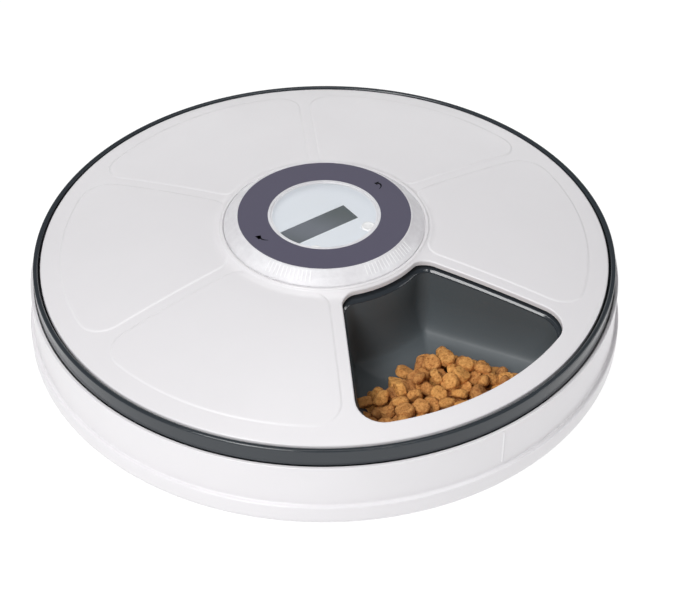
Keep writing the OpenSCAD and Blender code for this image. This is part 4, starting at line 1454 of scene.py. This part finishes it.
@dataclass
class MealPortion:
    """The baked food in the serving compartment: seeded pieces heaped towards the outer wall."""

    seed: int = 23
    bowl: Sector = Sector(60.0, 143.5, 5.0, 8.0, 14.0)
    floor: float = 14.0
    size: float = 4.75
    spacing: float = 8.3
    layers: tuple[float, ...] = (2.7, 7.0, 11.0, 14.6)
    variants: int = 14
    crest: float = 9.0
    back: float = 77.0
    bare: float = 18.5
    high: float = 17.0
    edge_high: float = 5.0
    reach: float = 138.2
    hold: float = 138.4
    clear: float = 4.9
    tries: int = 2600
    rounds: int = 30
    wall_sine: float = 0.5
    wall_cosine: float = 0.866

    def build(self, finishes: Finishes) -> None:
        """Builds the portion and dresses it."""
        settle_piece(self.heap(), Body.TRAY, "kibble_food", finishes["kibble_food"], "kibble")

    def from_wall(self, across: float, out: float) -> float:
        """Gives the distance of a place from the left wall, or from the right one for -across."""
        return out * self.wall_sine + across * self.wall_cosine - self.bowl.side

    def heap_height(self, across: float, out: float) -> float:
        """Gives the wanted height of the heap over the floor.

        Args:
            across: place across the compartment, positive to the right as one faces it.
            out: distance from the feeder's axis.

        Returns:
            The height, 0 where the floor is bare.
        """
        right_wall = self.from_wall(-across, out)
        left_wall = self.from_wall(across, out)
        if across > self.crest:
            back = self.back + 0.03 * (across - self.crest) ** 2
        else:
            back = self.back + 0.22 * (self.crest - across)
        near = 5.0
        if right_wall < self.bare or left_wall < near or out > self.reach or out < back:
            return 0.0
        return min(
            self.high, self.edge_high + (out - back) * 0.62,
            self.edge_high + (right_wall - self.bare) * 0.75, 6.5 + (left_wall - near) * 0.4)

    def places(self, rng: random.Random) -> list[tuple[Vector, int]]:
        """Picks places layer by layer, never two closer than the spacing, then eases them apart.

        Args:
            rng: seeded source of chance.

        Returns:
            Each piece's place and layer.
        """
        kept: list[tuple[Vector, int]] = []
        for layer, height in enumerate(self.layers):
            mine: list[Vector] = []
            for _ in range(self.tries):
                across, out = rng.uniform(-62, 52), rng.uniform(74, 139)
                if self.heap_height(across, out) < height - 0.6:
                    continue
                here = Vector((across, -out, self.floor + height + rng.uniform(-0.5, 0.6)))
                if all((here.xy - p.xy).length > self.spacing for p in mine):
                    mine.append(here)
            kept += [(p, layer) for p in mine]
        self.ease(kept)
        return kept

    def ease(self, kept: list[tuple[Vector, int]]) -> None:
        """Pushes pieces apart where they lie too close, and holds them over the floor.

        Args:
            kept: places and layers, changed in place.
        """
        least = self.size * 1.66
        for _ in range(self.rounds):
            for i, (a, _layer) in enumerate(kept):
                for b, _other in kept[i + 1:]:
                    gap = a - b
                    flat = Vector((gap.x, gap.y, gap.z * 1.35))
                    if 1e-6 < flat.length < least:
                        push = gap.normalized() * (least - flat.length) * 0.25
                        a += push
                        b -= push
            for point, layer in kept:
                point.z = max(point.z, self.floor + 2.5 + layer * 0.3)
                out = -point.y
                over = point.xy.length - self.hold
                if over > 0:
                    point.xy = point.xy.normalized() * self.hold
                left = self.from_wall(point.x, out) - self.clear
                if left < 0:
                    point.x -= left * self.wall_cosine

    def shape(self, form: KibbleForm, rng: random.Random) -> Mesh:
        """Makes one rough food piece in a scratch mesh.

        Args:
            form: form of the piece.
            rng: seeded source of chance.

        Returns:
            Its mesh, in millimetres.
        """
        bm = bmesh.new()
        r, thick = self.size * rng.uniform(0.92, 1.08), rng.uniform(4.2, 5.2)
        sides = 3 if form is KibbleForm.CORNERED else 14
        if form is KibbleForm.OVAL:
            bmesh.ops.create_uvsphere(bm, u_segments=14, v_segments=9, radius=1)
            bmesh.ops.scale(bm, vec=(r * 1.06, r * 0.74, thick * 0.6), verts=bm.verts)
        else:
            wide = r * 1.25 if form is KibbleForm.CORNERED else r
            bmesh.ops.create_cone(
                bm, cap_ends=True, segments=sides, radius1=wide, radius2=wide, depth=thick)
            upright = [e for e in bm.edges if abs(e.verts[0].co.z - e.verts[1].co.z) > 1]
            if form is KibbleForm.CORNERED:
                soften(bm, upright, r * 0.55, 4)
            caps = [f for f in bm.faces if abs(f.normal.z) > 0.9]
            if form is KibbleForm.DIMPLED:
                bmesh.ops.inset_region(bm, faces=caps, thickness=r * 0.42, use_even_offset=True)
                for face in caps:
                    middle = face.calc_center_median()
                    bmesh.ops.scale(
                        bm, vec=(0.7, 0.7, 1), verts=face.verts,
                        space=Matrix.Translation(-middle))
                    bmesh.ops.translate(
                        bm, vec=(0, 0, -math.copysign(thick * 0.3, middle.z)), verts=face.verts)
            soften(bm, sharp_edges(bm, 35), 1.15, 3)
            discs = [f for f in bm.faces if len(f.verts) > 6]
            bmesh.ops.inset_region(bm, faces=discs, thickness=r * 0.34)
            left = [f for f in bm.faces if len(f.verts) > 6]
            bmesh.ops.poke(bm, faces=left)
            bmesh.ops.scale(bm, vec=(1, rng.uniform(0.88, 1.0), 1), verts=bm.verts)
        bmesh.ops.subdivide_edges(
            bm, edges=[e for e in bm.edges if e.calc_length() > 2.1], cuts=1, use_grid_fill=True)
        bmesh.ops.recalc_face_normals(bm, faces=bm.faces)
        bm.normal_update()
        shift = Vector((rng.uniform(-50, 50), rng.uniform(-50, 50), rng.uniform(-50, 50)))
        moved = []
        for vert in bm.verts:
            broad = noise.noise(vert.co * 0.33 + shift) * 0.5
            rough = noise.noise(vert.co * 1.3 + shift) * 0.22
            moved.append(vert.co + vert.normal * (broad + rough))
        for vert, point in zip(bm.verts, moved):
            vert.co = point
        return freed_mesh(bm, "kibble_shape")

    def heap(self) -> Object:
        """Lays the pieces in the compartment, each with its own turn, tilt and tone.

        Returns:
            The heap.
        """
        rng = random.Random(self.seed)
        forms = [KibbleForm.DISC] * 6 + [KibbleForm.OVAL] * 4 + [KibbleForm.DIMPLED] * 3
        forms.append(KibbleForm.CORNERED)
        shapes = [self.shape(forms[k % len(forms)], rng) for k in range(self.variants)]
        bm = bmesh.new()
        tone_layer = bm.verts.layers.float.new(TONE)
        for place, layer in self.places(rng):
            before = len(bm.verts)
            bm.from_mesh(rng.choice(shapes))
            bm.verts.ensure_lookup_table()
            verts = bm.verts[before:]
            stands = layer > 0 and rng.random() < 0.2
            tilt = math.radians(rng.uniform(55, 85) if stands else rng.uniform(0, 14 + layer * 11))
            turn = (
                Matrix.Translation(place)
                @ Matrix.Rotation(rng.uniform(0, math.tau), 4, "Z")
                @ Matrix.Rotation(tilt, 4, "X")
                @ Matrix.Rotation(rng.uniform(0, math.tau), 4, "Z")
            )
            bmesh.ops.transform(bm, matrix=turn, verts=verts)
            tone = rng.random()
            for vert in verts:
                vert[tone_layer] = tone
        for mesh in shapes:
            bpy.data.meshes.remove(mesh)
        return make_piece(bm, "kibble_heap", 180, outward=False)


# ---- lid ----


@dataclass
class Lid:
    """The white domed lid: serving window with its lip, five soft pads, collar and seat."""

    dome: Dome = Dome(flare=1.7)
    plain_dome: Dome = Dome()
    window: Sector = Sector(58.4, 145.1, 3.4, 8.8, 14.0)
    thick: float = 2.2
    pad: float = 0.42
    lip: float = 3.2
    lip_w: float = 0.9
    collar_in: float = 55.5
    collar_out: float = 57.4
    collar_top: float = 67.0
    seat: float = 64.0
    seat_t: float = 2.0
    bore: float = 48.0
    sheet_out: float = 155.1
    skirt_in: float = 154.1
    skirt_low: float = 46.6
    key_half: float = 1.8
    key_at: tuple[float, float] = (46.0, 49.4)

    def build(self, finishes: Finishes) -> None:
        """Builds the lid and dresses it."""
        settle_piece(self.body(), Body.LID, "white_shell", finishes["white_shell"], "lid")

    def pad_steps(self) -> list[Ledge]:
        """Gives the soft step from the lid's face up to a pad."""
        out = []
        for k in range(7):
            t = k / 6
            ease = t * t * (3 - 2 * t)
            out.append(Ledge(0.75 - 1.5 * t, self.pad * ease))
        return out

    def window_steps(self) -> list[Ledge]:
        """Gives the window's rounded edge, its lip and the way back up under the lid."""
        steps = quarter(0.8, 4)
        low = -self.lip
        steps += [
            Ledge(0.0, low + 0.3), Ledge(0.1, low + 0.08), Ledge(0.35, low),
            Ledge(self.lip_w - 0.35, low), Ledge(self.lip_w - 0.08, low + 0.1),
            Ledge(self.lip_w, low + 0.35),
        ]
        return steps

    def body(self) -> Object:
        """Builds the lid as one closed shell.

        Returns:
            The lid.
        """
        bm = bmesh.new()
        over = WedgeSheet(self.dome, self.window, self.collar_out, self.sheet_out)
        under = WedgeSheet(self.plain_dome, self.window, self.collar_out, self.sheet_out, self.thick)
        draw_in = self.sheet_out - self.skirt_in + 0.2
        for k in range(MEALS):
            turn = SERVE + k * STEP
            if k == 0:
                ring = over.build(bm, turn, self.window_steps(), closed=False)
                edge = self.window.grown(self.lip_w).points()
                grow_ring(bm, ring, [under.place(p, -self.thick, True, turn) for p in edge])
                under.build(bm, turn, [Ledge(self.lip_w, -self.thick)], False, draw_in)
            else:
                over.build(bm, turn, self.pad_steps())
                under.build(bm, turn, [Ledge(0.0, -self.thick)], True, draw_in)
        bmesh.ops.remove_doubles(bm, verts=bm.verts, dist=WELD)
        self.close_rim(bm)
        self.close_collar(bm)
        lid = make_piece(bm, "lid_shell", 50)
        carve(lid, self.key_cutters(), 50)
        return even_shading(lid)

    def close_rim(self, bm: BMesh) -> None:
        """Runs the lid's outer edge down its skirt and back up inside."""
        edge = self.dome.at(self.sheet_out)
        out, low = self.dome.radius, self.skirt_low
        loop = open_edges(bm, self.sheet_out, edge - 0.1, edge + 0.1)
        run_profile(bm, loop, [
            (out - 0.62, 49.98), (out - 0.3, 49.82), (out - 0.08, 49.5), (out, 49.1),
            (out, low + 0.35), (out - 0.1, low + 0.1), (out - 0.35, low),
            (self.skirt_in + 0.35, low), (self.skirt_in + 0.08, low + 0.1),
            (self.skirt_in, low + 0.4), (self.skirt_in, 47.3),
            (self.skirt_in - 0.2, self.dome.at(self.skirt_in - 0.2) - self.thick),
        ])

    def close_collar(self, bm: BMesh) -> None:
        """Runs the lid's inner edge up the collar and back down under the seat."""
        face = self.dome.at(self.collar_out)
        out, inn, top, low = self.collar_out, self.collar_in, self.collar_top, self.seat - self.seat_t
        loop = open_edges(bm, out, face - 0.1, face + 0.1)
        low_face = self.plain_dome.at(out)
        run_profile(bm, loop, [
            (out - 0.1, face + 0.3), (out - 0.25, top - 0.35), (out - 0.5, top - 0.1),
            (out - 0.8, top), (inn + 0.4, top), (inn + 0.1, top - 0.12), (inn, top - 0.4),
            (inn, self.seat), (self.bore + 0.2, self.seat), (self.bore, self.seat - 0.2),
            (self.bore, low + 0.2), (self.bore + 0.2, low), (out - 1.0, low),
            (out, low_face - self.thick),
        ])

    def key_cutters(self) -> Object:
        """Builds what is cut out of the seat: the two slots for the hub's keys.

        Returns:
            The cutter.
        """
        bm = bmesh.new()
        for sign in (-1, 1):
            low, high = sorted((sign * self.key_at[0], sign * self.key_at[1]))
            add_box(bm, (low, -self.key_half, 61), (high, self.key_half, 65))
        return make_piece(bm, "key_cutter")


# ---- twist cap ----


@dataclass(frozen=True)
class TurnMark:
    """A curved arrow. Points are (out from the marks' circle, along the turn it shows)."""

    angle: float
    way: int
    bow: tuple[tuple[float, float], ...]
    head: tuple[tuple[float, float], ...]


@dataclass
class TwistCap:
    """The clear cap with its frosted bevel, grip ribs, hooks, printed ring and turning marks."""

    top: float = 72.99
    outer: float = 55.2
    flat: float = 48.0
    bevel_low: float = 67.0
    low: float = 64.25
    thick: float = 2.0
    ring_in: float = 30.8
    ring_out: float = 47.4
    groove: float = 0.3
    skirt: tuple[float, float] = (48.0, 49.6)
    hook: tuple[float, float, float, float] = (46.5, 47.97, 64.5, 66.6)
    hook_turn: float = -36.0
    hook_angle: float = 24.0
    rib_groups: tuple[tuple[float, float], ...] = (
        (-161.0, -133.5), (-99.4, -64.3), (19.0, 46.5), (80.6, 115.7))
    rib_pitch: float = 2.5
    bead: tuple[float, float] = (28.9, 30.7)
    window_drop: float = 0.7
    marks_at: float = 40.0
    marks: tuple[TurnMark, ...] = (
        TurnMark(
            176.5, -1, ((-2.5, -3.8), (-1.5, -3.1), (-0.6, -2.3), (0.1, -1.2), (0.35, -0.2), (0.3, 1.0)),
            ((-1.1, 2.0), (1.9, 2.9), (1.6, -0.5))),
        TurnMark(
            5.0, 1, ((-2.0, -2.5), (-0.9, -2.0), (0.3, -1.3), (1.0, -0.3), (1.2, 0.8), (0.8, 1.9)),
            ((2.1, 2.9), (-0.9, 3.4), (-0.6, 0.8))),
    )

    def build(self, finishes: Finishes) -> None:
        """Builds the cap's pieces and dresses them."""
        cap = self.body()
        cap.data.materials.append(finishes["frosted_cap"])
        cap.data.materials.append(finishes["clear_cap"])
        for face in cap.data.polygons:
            middle = face.center
            reach = self.bead[0] - (0.4 if middle.z > (self.top - 1) * MM else 0.0)
            if math.hypot(middle.x, middle.y) < reach * MM:
                face.material_index = 1
        settle_piece(cap, Body.CAP, "clear_cap", finishes["frosted_cap"], "twist_cap")
        # the ribs take a near-white painted highlight
        settle_piece(self.grip_ribs(), Body.CAP, "clear_cap", finishes["cap_rib_painted_highlight"])
        settle_piece(self.printed_ring(), Body.CAP, "printed_ring", finishes["printed_ring"], "cap_ring")
        settle_piece(self.turn_marks(), Body.CAP, "printed_ring", finishes["ring_marks"])

    def body(self) -> Object:
        """Turns the cap's shell with its inner skirt and adds the hooks.

        Returns:
            The cap.
        """
        bm = bmesh.new()
        inside, under = self.outer - self.thick, self.top - self.thick
        s_in, s_out = self.skirt
        low, clear_r = self.top - self.window_drop, self.bead
        outline = [(0.0, low), (clear_r[0] - 0.5, low)] + rounded([
            (clear_r[0], low, 0.35), (clear_r[0] + 0.45, self.top, 0.45), (self.ring_in, self.top, 0.12),
            (self.ring_in, self.top - self.groove, 0.0),
            (self.ring_out, self.top - self.groove, 0.0), (self.ring_out, self.top, 0.0),
            (self.flat, self.top, 0.6), (self.outer, self.bevel_low, 1.0),
            (self.outer, self.low, 0.3), (inside, self.low, 0.3), (inside, 66.1, 0.8),
            (s_out, 69.6, 0.5), (s_out, 64.4, 0.3), (s_in, 64.4, 0.3), (s_in, under, 0.5),
        ], 4)
        outline += [(self.ring_in + 3, under), (0.0, under)]
        spin_profile(bm, outline, 160, closed=False)
        r0, r1, z0, z1 = self.hook
        for k in range(3):
            centre = math.radians(self.hook_turn + 120 * k)
            start = centre - math.radians(self.hook_angle / 2)
            corners = ((r0, z0), (r1, z0), (r1, z1), (r0, z1))
            face = bm.faces.new([bm.verts.new(polar(r, start, z)) for r, z in corners])
            bmesh.ops.spin(
                bm, geom=[face], cent=(0, 0, 0), axis=(0, 0, 1),
                angle=math.radians(self.hook_angle), steps=8, use_merge=False, use_duplicate=False)
        return even_shading(make_piece(bm, "cap_shell", 35))

    def grip_ribs(self) -> Object:
        """Builds the groups of thin ribs across the bevel; their near-white colour is a painted
        highlight.

        Returns:
            The ribs.
        """
        bm = bmesh.new()
        slope = math.atan2(self.top - self.bevel_low, self.outer - self.flat)
        middle_r = self.flat + (self.outer - self.flat) * 0.42
        middle_z = self.top - (self.top - self.bevel_low) * 0.42
        for first, last in self.rib_groups:
            count = round((last - first) / self.rib_pitch)
            for k in range(count + 1):
                angle = math.radians(first + (last - first) * k / count)
                verts = add_box(bm, (-3.0, -0.2, -0.25), (3.0, 0.2, 0.13))
                place = (
                    Matrix.Rotation(angle, 4, "Z")
                    @ Matrix.Translation((middle_r, 0, middle_z))
                    @ Matrix.Rotation(slope, 4, "Y")
                )
                bmesh.ops.transform(bm, matrix=place, verts=verts)
        soften(bm, sharp_edges(bm), 0.05, 2)
        return make_piece(bm, "grip_ribs", 60)

    def printed_ring(self) -> Object:
        """Turns the flat printed ring that lies in the cap's groove.

        Returns:
            The ring.
        """
        bm = bmesh.new()
        low, high = self.top - self.groove + 0.02, self.top - 0.03
        r0, r1 = self.ring_in + 0.05, self.ring_out - 0.05
        profile = rounded([(r0, low, 0.0), (r1, low, 0.0), (r1, high, 0.08), (r0, high, 0.08)], 3)
        spin_profile(bm, profile, 160)
        return even_shading(make_piece(bm, "turn_ring", 35))

    def turn_marks(self) -> Object:
        """Builds the two curved arrows, one for each way of turning.

        Returns:
            The arrows.
        """
        bm = bmesh.new()
        for mark in self.marks:
            self.arrow(bm, mark)
        return make_piece(bm, "turn_marks", 30)

    def arrow(self, bm: BMesh, mark: TurnMark) -> None:
        """Adds one curved arrow on the printed ring: a tapered bow and a solid head.

        Args:
            bm: mesh that takes it.
            mark: the arrow.
        """
        bow = [Vector((self.marks_at + out, along, 0)) for out, along in mark.bow]
        head = [Vector((self.marks_at + out, along, 0)) for out, along in mark.head]
        outer, inner = [], []
        for k, point in enumerate(bow):
            way = (bow[min(k + 1, len(bow) - 1)] - bow[max(k - 1, 0)]).normalized()
            side = Vector((way.y, -way.x, 0)) * (0.16 + 0.5 * k / (len(bow) - 1))
            outer.append(point + side)
            inner.append(point - side)
        low, high = self.top - 0.08, self.top - 0.005
        angle = math.radians(mark.angle)
        plan = [turned(Vector((p.x, p.y * mark.way, low)), angle) for p in outer + head + inner[::-1]]
        face = bm.faces.new([bm.verts.new(p) for p in plan])
        made = bmesh.ops.extrude_face_region(bm, geom=[face], use_keep_orig=True)["geom"]
        bmesh.ops.translate(bm, vec=(0, 0, high - low), verts=[v for v in made if isinstance(v, BMVert)])


# ---- control panel ----


@dataclass
class ControlPanel:
    """The panel's face with its display and its two buttons."""

    top: float = 66.0
    thick: float = 2.0
    display: tuple[float, float, float, float] = (-26.0, -6.8, 18.0, 7.2)
    button_at: tuple[float, float] = (17.7, -16.7)
    button_r: float = 3.9

    def build(self, finishes: Finishes) -> None:
        """Builds the panel's visible pieces and dresses them."""
        glass = finishes["display_glass"]
        settle_piece(self.display_sheet(), Body.BASE, "display_glass", glass, "lcd_window")
        keys = ((-1, Body.LEFT_KEY, "button_left"), (1, Body.RIGHT_KEY, "button_right"))
        for sign, body, node in keys:
            name = node + "_cap"
            settle_piece(self.button(sign, name), body, "button_pad", finishes["button_pad"], node)

    def display_sheet(self) -> Object:
        """Builds the display's sheet with a fine raised frame.

        Returns:
            The sheet.
        """
        bm = bmesh.new()
        x0, y0, x1, y1 = self.display
        g = 0.1
        add_box(bm, (x0 + g, y0 + g, self.top - self.thick), (x1 - g, y1 - g, self.top - 0.02))
        top = [f for f in bm.faces if f.normal.z > 0.9]
        bmesh.ops.inset_region(bm, faces=top, thickness=0.35, use_even_offset=True)
        bmesh.ops.translate(bm, vec=(0, 0, -0.2), verts=top[0].verts)
        soften(bm, sharp_edges(bm), 0.06, 2)
        return even_shading(make_piece(bm, "display_sheet", 30))

    def button(self, sign: int, name: str) -> Object:
        """Turns one button with its flange, rounded edge and dished top.

        Args:
            sign: -1 for the left one, 1 for the right one.
            name: name of the piece.

        Returns:
            The button.
        """
        bm = bmesh.new()
        r, base = self.button_r, self.top - self.thick
        profile = [
            (0.0, base - 0.8), (r + 0.8, base - 0.8), (r + 0.8, base - 0.1), (r, base - 0.1),
            (r, self.top + 0.2), (r - 0.12, self.top + 0.5), (r - 0.45, self.top + 0.68),
            (r - 0.9, self.top + 0.7), (r - 1.2, self.top + 0.6), (r - 1.5, self.top + 0.45),
            (1.2, self.top + 0.36), (0.0, self.top + 0.34),
        ]
        verts = spin_profile(bm, profile, 48, closed=False)
        bmesh.ops.translate(bm, vec=(sign * self.button_at[0], self.button_at[1], 0), verts=verts)
        return even_shading(make_piece(bm, name, 40))


# ---- carried-over parts ----


@dataclass
class InnerWorks:
    """The parts inside that keep their CAD shape: each gets its own finish."""

    finish_of: dict[str, str] = field(default_factory=lambda: {
        "base_screws": "steel", "battery_box": "inner_plastic", "batteries": "cell_jacket",
        "battery_contacts": "steel", "battery_door": "white_shell", "hub_column": "white_shell",
        "hub_screws": "steel", "gear_plate": "inner_plastic", "plate_screws": "steel",
        "drive_gear_pin": "steel", "drive_gear": "acetal", "motor_pinion": "steel",
        "gearbox": "inner_plastic", "motor": "motor_can", "position_switch": "black_plastic",
        "switch_lever": "steel", "control_board": "circuit_board",
        "board_switches": "black_plastic", "buzzer": "black_plastic",
        "lcd_module": "black_plastic", "control_panel": "panel_face", "panel_screws": "steel",
        "internal_leads": "lead_wire", "roller_pins": "steel", "tray_roller_1": "acetal",
        "tray_roller_2": "acetal", "tray_roller_3": "acetal", "tray_roller_4": "acetal",
        "tray_roller_5": "acetal", "tray_roller_6": "acetal",
    })

    def build(self, finishes: Finishes) -> None:
        """Dresses each carried-over node."""
        for node, finish in self.finish_of.items():
            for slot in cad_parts[node].material_slots:
                slot.material = finishes[finish]
            LOG.info("%s: %s", node, finish)


# ---- studio ----


@dataclass(frozen=True)
class Lamp:
    """A soft box: azimuth and elevation in degrees, distance and size in metres, watts."""

    name: str
    azimuth: float
    elevation: float
    away: float
    size: tuple[float, float]
    power: float


@dataclass
class Studio:
    """Pale floor, soft light and the camera."""

    camera_at: Vector = field(default_factory=lambda: Vector((-0.4645, -0.6629, 0.6947)))
    view: Vector = field(default_factory=lambda: Vector((0.4454, 0.6233, -0.6428)))
    lens: float = 99.6
    sensor: float = 36.0
    floor_half: float = 4.0
    world: float = 0.03
    floor_glow: float = 0.93
    lamps: tuple[Lamp, ...] = (
        Lamp("key", 212, 38, 1.85, (0.6, 0.6), 14.8),
        Lamp("left", 190, 57, 1.85, (0.6, 0.6), 14.5),
        Lamp("strip", 258, 43, 1.85, (0.55, 0.05), 2.6),
        Lamp("back", 54, 16, 1.95, (2.0, 0.55), 6.5),
        Lamp("right", 330, 11, 1.9, (1.4, 0.4), 9.2),
        Lamp("top", 54, 80, 1.85, (1.0, 1.0), 7.0),
    )

    def build(self) -> None:
        """Sets up the floor, the lights and the camera."""
        self.make_floor()
        self.make_world()
        for lamp in self.lamps:
            self.make_light(lamp)
        self.make_camera()
        LOG.info("studio: floor, lights and camera")

    def make_floor(self) -> None:
        """Lays a plain pale floor."""
        bm = bmesh.new()
        bmesh.ops.create_grid(bm, x_segments=8, y_segments=8, size=self.floor_half)
        floor = link_object("floor", freed_mesh(bm, "floor"))
        material, _shader = new_material(
            "pale_floor", Base_Color=(0.15, 0.15, 0.15, 1), Roughness=0.9, Specular_IOR_Level=0.0,
            Emission_Color=(1, 1, 1, 1), Emission_Strength=self.floor_glow)
        floor.data.materials.append(material)

    def make_world(self) -> None:
        """Fills the room with soft pale light."""
        world = bpy.data.worlds.new("studio")
        world.use_nodes = True
        background = world.node_tree.nodes["Background"]
        background.inputs["Color"].default_value = (1, 1, 1, 1)
        path = add_node(world.node_tree, "ShaderNodeLightPath")
        seen = add_node(
            world.node_tree, "ShaderNodeMapRange", {"To Min": self.world, "To Max": 1.0},
            {"Value": path.outputs["Is Camera Ray"]})
        world.node_tree.links.new(seen.outputs["Result"], background.inputs["Strength"])
        bpy.context.scene.world = world
        bpy.context.scene.view_settings.view_transform = "Standard"

    def make_light(self, lamp: Lamp) -> None:
        """Hangs a soft box that faces the feeder.

        Args:
            lamp: the soft box.
        """
        data = bpy.data.lights.new(lamp.name, "AREA")
        data.shape, data.energy = "RECTANGLE", lamp.power
        data.size, data.size_y = lamp.size
        light = link_object(lamp.name, data)
        up = math.radians(lamp.elevation)
        way = polar(math.cos(up), math.radians(lamp.azimuth), math.sin(up))
        light.location = Vector((0, 0, 0.03)) + way * lamp.away
        light.rotation_euler = (-way).to_track_quat("-Z", "Y").to_euler()

    def make_camera(self) -> None:
        """Sets the camera."""
        data = bpy.data.cameras.new("camera")
        data.lens, data.sensor_width = self.lens, self.sensor
        data.clip_start, data.clip_end = 0.05, 50
        camera = link_object("camera", data)
        camera.location = self.camera_at
        camera.rotation_euler = self.view.to_track_quat("-Z", "Y").to_euler()
        bpy.context.scene.camera = camera


def main() -> None:
    """Builds every sub-assembly in order and reports each piece."""
    logging.basicConfig(level=logging.INFO, format="%(name)s: %(message)s")
    finishes = Finishes()
    parts = (FeederBase(), FoodTray(), MealPortion(), Lid(), TwistCap(), ControlPanel(), InnerWorks())
    for part in parts:
        LOG.info("building %s", type(part).__name__)
        part.build(finishes)
    Studio().build()


if __name__ == "__main__":
    main()
